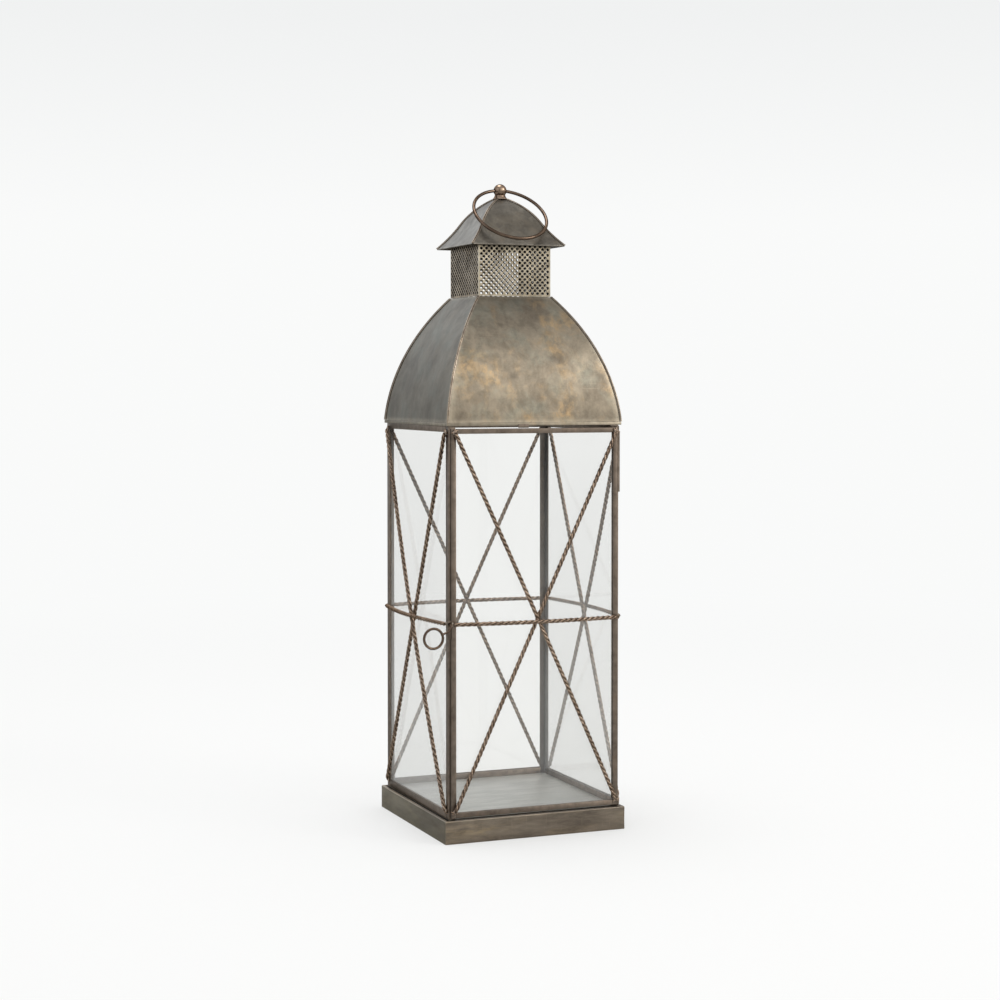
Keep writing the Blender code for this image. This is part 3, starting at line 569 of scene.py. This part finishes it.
def tail(point, heading, bend, length, seed):
    """A strand's cut end, splayed out and bent over the frame, in the side's own plane."""
    path, thick = [], []
    steps = 10
    angle = heading
    x, z = point[0], point[2]
    for k in range(steps + 1):
        t = k / steps
        wobble = 0.5 * noise.noise(Vector((seed, 3.0 * t, 1.0)))
        path.append((x, point[1] + TAIL_DROP * min(1.0, 2.5 * t), z))
        thick.append(STRAND_RADIUS * (1 - 0.45 * t ** 2))
        angle += (bend + wobble) / steps
        x += length / steps * math.cos(angle)
        z += length / steps * math.sin(angle)
    return tube(path, thick, 8)


def build_rope(mats, node, quarters, body, seed):
    """A twisted rope over the CAD bar's line. Its strands splay and are soldered at the ends."""
    points = turn([v.co for v in NODES[node].data.vertices], -quarters)
    lengthwise = points[:, 0]
    low = points[lengthwise < lengthwise.min() + 2 * MM].mean(0)
    high = points[lengthwise > lengthwise.max() - 2 * MM].mean(0)
    plane = points[:, 1].max() - ROPE_BAR
    bow = plane - (points[:, 1].min() + ROPE_BAR)
    length = np.linalg.norm(high - low)
    steps = int(length / LAY_LENGTH * STEPS_PER_TURN)
    t = np.linspace(0, 1, steps + 1)
    path = low[None, :] * (1 - t[:, None]) + high[None, :] * t[:, None]
    path[:, 1] = plane - bow * np.sin(math.pi * t)
    parts, crowns = strands(path)
    lump, tails = CORNER_LUMP, CORNER_TAILS
    if node.endswith("level"):
        lump, tails = LEVEL_LUMP, LEVEL_TAILS
    for at, before, sign in ((path[0], path[4], 1), (path[-1], path[-5], -1)):
        out = (at[0], plane + 0.2 * MM, at[2])
        heading = math.atan2(at[2] - before[2], at[0] - before[0])
        parts.append(blob((out[0], out[1] + 0.8 * MM, out[2]), lump, seed + sign))
        crowns.append(np.full(len(parts[-1][0]), SOLDER_CROWN))
        for index, (spread, bend, size) in enumerate(tails):
            reach = size * MM * (1 + 0.2 * noise.noise(Vector((seed, index, sign))))
            parts.append(tail(out, heading + spread * sign, bend * sign, reach,
                              seed + 5 * index + sign))
            crowns.append(np.full(len(parts[-1][0]), TAIL_CROWN))
    verts, faces = join_parts(parts)
    add_piece(node + "_wire", turn(verts, quarters), faces, mats, [node], body, sharp=70,
              crown=np.concatenate(crowns))


def build_ropes(mats):
    seed = 0.0
    for side, quarters in SIDES.items():
        prefix = "door_rope_" if side == "front" else "rope_" + side + "_"
        body = "door" if side == "front" else "lantern_body"
        for route in ("falling", "rising", "level"):
            seed += 1.37
            build_rope(mats, prefix + route, quarters, body, seed)


# ---- curved sheet panels ----
def arc_points(start, end, start_slope, end_slope, steps):
    """Points from start to end on the arc whose downward slope turns between the two."""
    slopes = start_slope + (end_slope - start_slope) * (np.arange(steps) + 0.5) / steps
    run = np.concatenate([[0], np.cumsum(np.cos(slopes))])
    drop = np.concatenate([[0], np.cumsum(np.sin(slopes))])
    out = start[0] + run / run[-1] * (end[0] - start[0])
    up = start[1] + drop / drop[-1] * (end[1] - start[1])
    return np.stack([out, up], axis=1)


def dome_outline():
    low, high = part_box("dome_panel_front")
    angles = np.linspace(math.asin((high.z - DOME_CENTRE[1]) / DOME_RADIUS),
                         math.asin((low.z - DOME_CENTRE[1]) / DOME_RADIUS), PANEL_ROWS)
    return np.stack([DOME_CENTRE[0] + DOME_RADIUS * np.cos(angles),
                     DOME_CENTRE[1] + DOME_RADIUS * np.sin(angles)], axis=1)


def cap_outline():
    half = PANEL_ROWS // 2
    top, waist, eave = CAP_SLOPES
    shoulder = arc_points(CAP_TOP, CAP_WAIST, top, waist, half)
    return np.concatenate([shoulder, arc_points(CAP_WAIST, CAP_EAVE, waist, eave, half)[1:]])


def outward(outline):
    """Unit vectors square to an outline that runs from the top down."""
    step = np.gradient(outline, axis=0)
    step /= np.linalg.norm(step, axis=1)[:, None]
    return np.stack([-step[:, 1], step[:, 0]], axis=1)


def grid_faces(rows, columns, base=0):
    return [(base + r * columns + c, base + r * columns + c + 1,
             base + (r + 1) * columns + c + 1, base + (r + 1) * columns + c)
            for r in range(rows - 1) for c in range(columns - 1)]


def sheet_panel(outline, seed, wave, hem):
    """One mitred panel on the front side: hand-worked sheet, a little uneven, its long edges
    turned in, with a rolled hem along its foot if hem is set."""
    square = outward(outline)
    rows = len(outline)
    span = np.linspace(-1, 1, PANEL_COLUMNS)
    shells = []
    for depth in (0.0, SHEET):
        points = []
        for r in range(rows):
            out, up = outline[r] - depth * square[r]
            for s in span:
                fade = (1 - abs(s) ** 8) * min(1.0, r / 4, (rows - 1 - r) / 4)
                spot = Vector((s * out * 22, outline[r][1] * 22, seed))
                fall = wave * fade * (0.5 + 0.5 * noise.noise(spot)
                                      + 0.2 * noise.noise(spot * 2.7))
                if depth == 0.0:
                    fall += 0.2 * MM * abs(s) ** 60
                points.append((s * (out - MITRE), -(out - fall * square[r][0]),
                               up - fall * square[r][1]))
        shells.append(points)
    count = rows * PANEL_COLUMNS
    faces = grid_faces(rows, PANEL_COLUMNS) + grid_faces(rows, PANEL_COLUMNS, count)
    rim = (list(range(PANEL_COLUMNS))
           + [r * PANEL_COLUMNS + PANEL_COLUMNS - 1 for r in range(1, rows)]
           + [(rows - 1) * PANEL_COLUMNS + c for c in range(PANEL_COLUMNS - 2, -1, -1)]
           + [r * PANEL_COLUMNS for r in range(rows - 2, 0, -1)])
    faces += [(a, b, count + b, count + a) for a, b in zip(rim, rim[1:] + rim[:1])]
    parts = [(np.array(shells[0] + shells[1]), faces)]
    if hem:
        out, up = outline[-1] - 0.5 * SHEET * square[-1]
        reach = out - MITRE - hem * 0.4
        parts.append(tube([(s * reach, -out + 0.2 * MM, up - 0.1 * MM)
                           for s in np.linspace(-1, 1, 9)], hem, 10))
    return join_parts(parts)


def build_shells(mats):
    for side, quarters in SIDES.items():
        for prefix, outline, wave, hem in (("dome", dome_outline(), DOME_DENTS, 0),
                                           ("cap", cap_outline(), CAP_DENTS, CAP_HEM)):
            seed = 3.1 * quarters + (0 if hem else 40)
            verts, faces = sheet_panel(outline, seed, wave, hem)
            node = prefix + "_panel_" + side
            add_piece(prefix + "_sheet_" + side, turn(verts, quarters), faces, mats, [node],
                      "lantern_body", sharp=50)


def build_seams(mats):
    """The folded seams over the mitres: a bead on the corner, a crease, and a flat band."""
    for prefix, outline, size in (("dome", dome_outline(), 1.0), ("cap", cap_outline(), 0.95)):
        square = outward(outline)
        verts = []
        for (out, up), (push_out, push_up) in zip(outline, square):
            for side, away, height in SEAM_SECTION:
                reach = out + height * size * MM * push_out
                level = up + height * size * MM * push_up
                near = -reach + away * size * MM
                verts.append((near, -reach, level) if side == "front" else (-reach, near, level))
        rows, count = len(outline), len(SEAM_SECTION)
        faces = band_faces(rows, count)
        faces += [tuple(range(count)), tuple(range((rows - 1) * count, rows * count))]
        for corner, quarters in CORNERS.items():
            add_piece(prefix + "_fold_" + corner, turn(verts, quarters), faces, mats,
                      [prefix + "_seam_" + corner], "lantern_body", sharp=75,
                      look="seam_brass")


# ---- plinth ----
def square_loop(half, corner):
    """Points round a square with rounded corners, from the front left, anticlockwise."""
    flat = half - corner
    line = [(x, -half, 0.0) for x in np.linspace(-flat, flat, PLINTH_STEPS)]
    arc = [(flat + corner * math.sin(a), -flat - corner * math.cos(a), 0.0)
           for a in np.linspace(0, math.pi / 2, 7)[1:-1]]
    return np.concatenate([turn(line + arc, quarters) for quarters in range(4)])


def build_plinth(mats):
    """The folded sheet plinth: rolled top edge, a groove round the frame painted near-black as
    shade, mitres at the corners, and sides that are a little uneven."""
    _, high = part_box("base_skirt")
    half, top = high.x, high.z
    profile = [(half - PLINTH_WALL, 0.0), (half - 0.4 * MM, 0.0), (half - 0.1 * MM, 0.2 * MM),
               (half, 0.7 * MM)]
    profile += [(half, z) for z in np.linspace(0.002, top - PLINTH_ROLL - 0.5 * MM, 12)]
    profile += [(half - PLINTH_ROLL * (1 - math.cos(a)), top - PLINTH_ROLL * (1 - math.sin(a)))
                for a in np.linspace(0, math.pi / 2, 7)]
    lip, ledge = half - PLINTH_LIP, half - PLINTH_LEDGE
    profile += [(lip, top), (lip - 0.4 * MM, top - PLINTH_GROOVE),
                (ledge + 0.3 * MM, top - PLINTH_GROOVE), (ledge, top - 0.05 * MM),
                (PLINTH_OPENING, top - 0.05 * MM)]
    inner = [(half - PLINTH_WALL, top - PLINTH_WALL), (PLINTH_OPENING, top - PLINTH_WALL)]
    rings = []
    for reach, z in profile:
        loop = square_loop(reach, min(PLINTH_CORNER, reach))
        swell = math.sin(math.pi * min(1.0, z / top)) ** 0.5
        for point in loop:
            spot = Vector((point[0] * 30, point[1] * 30, z * 45))
            sunk = PLINTH_DENTS * swell * (0.5 + 0.5 * noise.noise(spot)) if reach > lip else 0
            near = max(abs(point[0]), abs(point[1]))
            point *= 1 - sunk / near
            point[2] = z
            mitre = abs(abs(point[0]) - abs(point[1]))
            if z > top - 0.6 * MM and mitre < 0.25 * MM and reach > 0.08:
                point[2] -= 0.3 * MM
        rings.append(loop)
    for reach, z in inner:
        loop = square_loop(reach, PLINTH_CORNER)
        loop[:, 2] = z
        rings.append(loop)
    outer_count = len(profile)
    count = len(rings[0])
    order = [(k, k + 1) for k in range(outer_count - 1)]
    order += [(0, outer_count), (outer_count, outer_count + 1)]
    faces, painted_shade_faces = [], []  # the groove's faces, which get the near-black material as painted shade
    for near, far in order:
        faces += ring_band(near, far, count)
        painted_shade_faces += [int(outer_count - 4 <= near < outer_count - 2)] * count
    for ring in (outer_count - 1, outer_count + 1):
        faces.append(tuple(range(ring * count, (ring + 1) * count)))
        painted_shade_faces.append(0)
    add_piece("plinth_sheet", np.concatenate(rings), faces, mats, ["base_skirt"],
              "lantern_body", sharp=60, inside=painted_shade_faces)


# ---- the perforated neck ----
def neck_corner(start, floor, column, level):
    """A corner shared by the cells round the holes, drawn aside to leave each hole its room."""
    aside = HOLE_ROOM if (column + level) % 2 == 0 else -HOLE_ROOM
    return (start + column * HOLE_COLUMN + aside, floor + level * HOLE_COLUMN)


def neck_polygons(start, floor):
    """One side's cells in (across, up), each in two halves round its hole, and the holes."""
    shapes, holes = [], []
    for column in range(HOLE_COLUMNS):
        x = start + (column + 0.5) * HOLE_COLUMN
        for row in range(HOLE_ROWS - column % 2):
            base = 2 * row + column % 2
            left, right = ([neck_corner(start, floor, column + side, base + k) for k in range(3)]
                           for side in (0, 1))
            z = floor + (base + 1) * HOLE_COLUMN
            ring = [(x + HOLE_RADIUS * math.sin(math.pi * k / 6),
                     z + HOLE_RADIUS * math.cos(math.pi * k / 6)) for k in range(12)]
            low, high = (x, z - HOLE_COLUMN), (x, z + HOLE_COLUMN)
            holes.append(ring)
            shapes.append([low] + right + [high] + ring[0:7])
            shapes.append([high] + left[::-1] + [low] + ring[6:12] + ring[0:1])
    return shapes, holes


def neck_edge(start, floor, level, inward):
    """The stepped line where the holed columns end, from left to right."""
    line = []
    for column in range(HOLE_COLUMNS):
        at = level + inward * (column % 2)
        line += [neck_corner(start, floor, column, at),
                 (start + (column + 0.5) * HOLE_COLUMN, floor + at * HOLE_COLUMN),
                 neck_corner(start, floor, column + 1, at)]
    return line


def build_neck(mats):
    low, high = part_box("vent_neck")
    half = high.x
    inner = half - NECK_SHEET
    start = -HOLE_COLUMNS * HOLE_COLUMN / 2
    floor = (low.z + high.z) / 2 - HOLE_ROWS * HOLE_COLUMN
    levels = 2 * HOLE_ROWS
    ceiling = floor + levels * HOLE_COLUMN
    shapes, holes = neck_polygons(start, floor)
    top_line = neck_edge(start, floor, levels, -1)
    low_line = neck_edge(start, floor, 0, 1)
    shapes.append([(-half, high.z), (-half, ceiling)] + top_line + [(half, ceiling),
                                                                    (half, high.z)])
    shapes.append([(-half, low.z), (-half, floor)] + low_line + [(half, floor), (half, low.z)])
    for edge, column in ((-half, 0), (half, HOLE_COLUMNS)):
        shapes.append([(edge, floor), (edge, ceiling)]
                      + [neck_corner(start, floor, column, k) for k in range(levels, -1, -1)])

    def place(point, depth):
        across = math.copysign(depth, point[0]) if abs(point[0]) > half - 1e-6 else point[0]
        return (across, -depth, point[1])

    # inside: the inner faces and the holes' walls, which get the near-black painted shade
    parts, inside = [], []
    for depth in (half, inner):
        for shape in shapes:
            points = [place(p, depth) for p in shape]
            parts.append((points, [tuple(range(len(points)))]))
            inside.append(int(depth == inner))
    for ring in holes:
        count = len(ring)
        points = [place(p, half) for p in ring] + [place(p, inner) for p in ring]
        parts.append((points, ring_band(0, 1, count)))
        inside += [1] * count
    for z in (low.z, high.z):
        points = [place(p, d) for p, d in (((-half, z), half), ((half, z), half),
                                           ((half, z), inner), ((-half, z), inner))]
        parts.append((points, [(0, 1, 2, 3)]))
        inside.append(0)
    verts, faces = join_parts(parts)
    whole = join_parts([(turn(verts, quarters), faces) for quarters in range(4)])
    add_piece("neck_mesh", *whole, mats, ["vent_neck"], "lantern_body", smooth=False,
              inside=inside * 4)


# ---- round pieces ----
def build_handle(mats):
    """The handle ring, round and finely divided, on the CAD ring's own circle."""
    points = np.array([v.co for v in NODES["handle_ring"].data.vertices], float)
    centre = points.mean(0)
    reach = np.linalg.norm(points - centre, axis=1)
    wire = (reach.max() - reach.min()) / 2
    radius = reach.max() - wire
    _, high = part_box("finial")
    down = np.array([0.0, centre[1], centre[2] - (high.z - high.y)])  # away from the ball
    down /= np.linalg.norm(down)
    verts, faces = hoop(centre, radius, wire, down, 160, 18)
    add_piece("handle_hoop", verts, faces, mats, ["handle_ring"], "handle", sharp=80)


def build_finial(mats):
    """The turned ball with its foot and cross hole, sweated to the cap with a pool of solder."""
    low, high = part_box("finial")
    ball = high.y
    centre = high.z - ball
    seat = low.z + STEM_LENGTH
    profile = [(0.0, low.z), (STEM_RADIUS, low.z), (STEM_RADIUS, seat - 0.6 * MM)]
    profile += [(FOOT_RADIUS * share, seat + up * MM) for share, up in FOOT_SHAPE]
    start = math.asin((seat + FOOT_HEIGHT - centre) / ball)
    profile += [(ball * math.cos(a), centre + ball * math.sin(a))
                for a in np.linspace(start, math.pi / 2, 26)]
    steps = 48
    verts = []
    for reach, z in profile:
        for k in range(steps):
            angle = 2 * math.pi * k / steps
            uneven = 1 + (0.07 * noise.noise(Vector((math.cos(angle), math.sin(angle), 5.0)))
                          if z < seat else 0)
            verts.append((reach * uneven * math.cos(angle), reach * uneven * math.sin(angle), z))
    faces = band_faces(len(profile), steps)
    piece = add_piece("ball_finial", verts, faces, mats, ["finial"], "lantern_body", sharp=50)
    hole = bpy.data.meshes.new("bore")
    bore_verts, bore_faces = tube([(-2 * ball, 0, centre), (2 * ball, 0, centre)], BALL_BORE, 32)
    hole.from_pydata([tuple(v) for v in bore_verts], [], bore_faces)
    tool = bpy.data.objects.new("bore", hole)
    bpy.context.scene.collection.objects.link(tool)
    cut = piece.modifiers.new("bore", "BOOLEAN")
    cut.object = tool
    cut.solver = "EXACT"
    shape = piece.evaluated_get(bpy.context.evaluated_depsgraph_get())
    piece.data = bpy.data.meshes.new_from_object(shape)
    piece.modifiers.clear()
    bpy.data.objects.remove(tool, do_unlink=True)


def build_latch(mats):
    """The latch's bent wire shank and ring, round and smooth, on the CAD latch's own lines."""
    low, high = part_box("latch_ring")
    lug_low, lug_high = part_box("latch_lug")
    x = (lug_low.x + lug_high.x) / 2
    z = high.z - LATCH_WIRE
    plane = low.y + LATCH_RING_PLANE
    reach = LATCH_RING + LATCH_RING_WIRE
    centre = Vector((low.x + reach, plane, low.z + reach))
    end = tuple(centre + LATCH_RING * Vector(LATCH_JOINT))
    bends = [(x, high.y, z), (x, lug_low.y - 0.8 * MM, z), (x, plane + 1.2 * MM, z - 0.4 * MM),
             (x + 0.2 * MM, plane, z - 2.2 * MM), (x - 1.6 * MM, plane, z - 5.4 * MM),
             (x - 4.8 * MM, plane, z - 8.0 * MM), end]
    shank = tube(smooth_path(bends, 8), LATCH_WIRE, 16)
    ring = hoop(np.array(centre), LATCH_RING, LATCH_RING_WIRE, np.array([0, 0, 1.0]), 96, 16)
    joint = blob(end, (1.5 * MM, 1.35 * MM, 1.5 * MM), 4.2)
    add_piece("latch_pull", *join_parts([shank, ring, joint]), mats, ["latch_ring"], "latch",
              sharp=70)


def smooth_path(points, steps):
    """Points on a Catmull-Rom curve through the given ones."""
    points = [Vector(p) for p in points]
    ends = [2 * points[0] - points[1]] + points + [2 * points[-1] - points[-2]]
    path = []
    for i in range(1, len(ends) - 2):
        a, b, c, d = ends[i - 1:i + 3]
        for k in range(steps):
            t = k / steps
            path.append(0.5 * ((2 * b) + (c - a) * t + (2 * a - 5 * b + 4 * c - d) * t * t
                               + (3 * b - a - 3 * c + d) * t * t * t))
    path.append(points[-1])
    return path


# ---- CAD pieces that keep their shape ----
def soften(node, width, segments=2):
    """Round a CAD piece's edges, as bent and filed sheet has them."""
    piece = NODES[node]
    weld = piece.modifiers.new("weld", "WELD")
    weld.merge_threshold = 0.00001
    bevel = piece.modifiers.new("bevel", "BEVEL")
    bevel.width = width
    bevel.segments = segments
    bevel.limit_method = "ANGLE"
    bevel.angle_limit = math.radians(40)
    bevel.harden_normals = True
    piece.data.shade_smooth()


def dress_frame(mats):
    for node, piece in NODES.items():
        piece.data.materials.clear()
        piece.data.materials.append(mats[SLOTS[node]])
        if piece.hide_render:
            continue
        if node.startswith(("corner_post", "bottom_rail", "top_rail", "door_stile", "door_rail")):
            soften(node, FOLD_RADIUS)
        elif node in ("dome_rim", "latch_lug", "door_stop_tab"):
            soften(node, FOLD_RADIUS, 3)
        elif node in ("base_bottom_plate", "floor_plate"):
            soften(node, PLATE_EDGE)


# ---- studio ----
def build_world():
    """A pale backdrop for the camera. The metal mirrors a grey room, darker towards the floor,
    with cool light patches at the back and left and warm ones at the front right."""
    scene = bpy.context.scene
    scene.view_settings.view_transform = "Standard"
    world = bpy.data.worlds.new("studio")
    scene.world = world
    world.use_nodes = True
    tree = world.node_tree
    tree.nodes.clear()

    def add(kind, *values, **settings):
        node = tree.nodes.new(kind)
        for key, value in settings.items():
            setattr(node, key, value)
        for socket, value in zip(node.inputs, values):
            if isinstance(value, bpy.types.NodeSocket):
                tree.links.new(value, socket)
            elif value is not None:
                socket.default_value = value
        return node

    spot = add("ShaderNodeTexCoord").outputs["Generated"]
    height = add("ShaderNodeSeparateXYZ", spot).outputs["Z"]
    level = add("ShaderNodeMapRange", height, -1.0, 1.0, 0.0, 1.0).outputs[0]
    room = fill_ramp(add("ShaderNodeValToRGB", level), ROOM_TONES)
    for direction, (edge, middle), tone in ROOM_PATCHES:
        aim = tuple(Vector(direction).normalized())
        near = add("ShaderNodeVectorMath", spot, aim, operation="DOT_PRODUCT").outputs["Value"]
        amount = add("ShaderNodeMapRange", near, edge, middle, 0.0, 1.0,
                     interpolation_type="SMOOTHSTEP").outputs[0]
        mix = tree.nodes.new("ShaderNodeMix")
        mix.data_type = "RGBA"
        mix.blend_type = "ADD"
        tree.links.new(amount, mix.inputs[0])
        tree.links.new(room, mix.inputs[6])
        mix.inputs[7].default_value = (*tone, 1.0)
        room = mix.outputs[2]
    drop = fill_ramp(add("ShaderNodeValToRGB", level), BACKDROP_FALL)
    seen = add("ShaderNodeBackground", drop).outputs[0]
    path = add("ShaderNodeLightPath").outputs
    mirrored = add("ShaderNodeBackground", room).outputs[0]
    soft = add("ShaderNodeBackground", (*ROOM_SOFT, 1.0)).outputs[0]
    lit = add("ShaderNodeMixShader", path["Is Diffuse Ray"], mirrored, soft).outputs[0]
    mixed = add("ShaderNodeMixShader", path["Is Camera Ray"], lit, seen).outputs[0]
    add("ShaderNodeOutputWorld", mixed)


def build_floor():
    """A pale floor that fades into the backdrop's tone, so no horizon shows."""
    sides = 96
    verts = [(FLOOR_REACH * math.cos(a), FLOOR_REACH * math.sin(a), 0)
             for a in np.linspace(0, 2 * math.pi, sides, endpoint=False)]
    mesh = bpy.data.meshes.new("floor")
    mesh.from_pydata(verts, [], [tuple(range(sides))])
    floor = bpy.data.objects.new("floor", mesh)
    bpy.context.scene.collection.objects.link(floor)
    t = Tree("pale_floor")
    reach = t.add("ShaderNodeVectorMath", {"operation": "LENGTH"}, i0=t.place).outputs["Value"]
    fade = t.add("ShaderNodeMapRange", {"interpolation_type": "SMOOTHSTEP"}, Value=reach,
                 From_Min=FLOOR_FADE[0], From_Max=FLOOR_FADE[1]).outputs[0]
    seen = t.add("ShaderNodeLightPath").outputs["Is Camera Ray"]
    tone = t.blend(seen, FLOOR_MIRRORED, FLOOR_TONE)
    matt = t.add("ShaderNodeBsdfDiffuse", Color=tone).outputs[0]
    own = t.add("ShaderNodeEmission", Color=(*BACKDROP, 1.0),
                Strength=t.math("MULTIPLY", seen, FLOOR_LIFT)).outputs[0]
    near = t.add("ShaderNodeAddShader", i0=matt, i1=own).outputs[0]
    far = t.add("ShaderNodeEmission", Color=(*BACKDROP, 1.0)).outputs[0]
    mesh.materials.append(t.finish(t.add("ShaderNodeMixShader", i1=near, i2=far,
                                         i0=t.math("MULTIPLY", fade, seen))))


def build_lights():
    """Two soft boxes: a wide key from the right of the camera, and a top light."""
    for name, (spot, size, power, tint) in LIGHTS.items():
        light = bpy.data.lights.new(name, "AREA")
        light.shape = "RECTANGLE"
        light.size, light.size_y = size
        light.energy = power
        light.color = tint
        lamp = bpy.data.objects.new(name, light)
        bpy.context.scene.collection.objects.link(lamp)
        lamp.location = spot
        aim = Vector(LIGHT_AIM) - Vector(spot)
        lamp.rotation_euler = aim.to_track_quat("-Z", "Y").to_euler()


def build_camera():
    camera = bpy.data.cameras.new("camera")
    camera.lens = LENS
    camera.sensor_width = SENSOR
    camera.shift_y = SHIFT
    spot = bpy.data.objects.new("camera", camera)
    bpy.context.scene.collection.objects.link(spot)
    spot.location = (-VIEW_DISTANCE * math.sin(VIEW_TURN),
                     -VIEW_DISTANCE * math.cos(VIEW_TURN), EYE_HEIGHT)
    spot.rotation_euler = (math.pi / 2 - VIEW_TILT, 0, -VIEW_TURN)
    bpy.context.scene.camera = spot


build_camera()
build_world()
build_floor()
build_lights()
MATERIALS = make_materials()
build_ropes(MATERIALS)
build_shells(MATERIALS)
build_seams(MATERIALS)
build_plinth(MATERIALS)
build_neck(MATERIALS)
build_finial(MATERIALS)
build_handle(MATERIALS)
build_latch(MATERIALS)
dress_frame(MATERIALS)
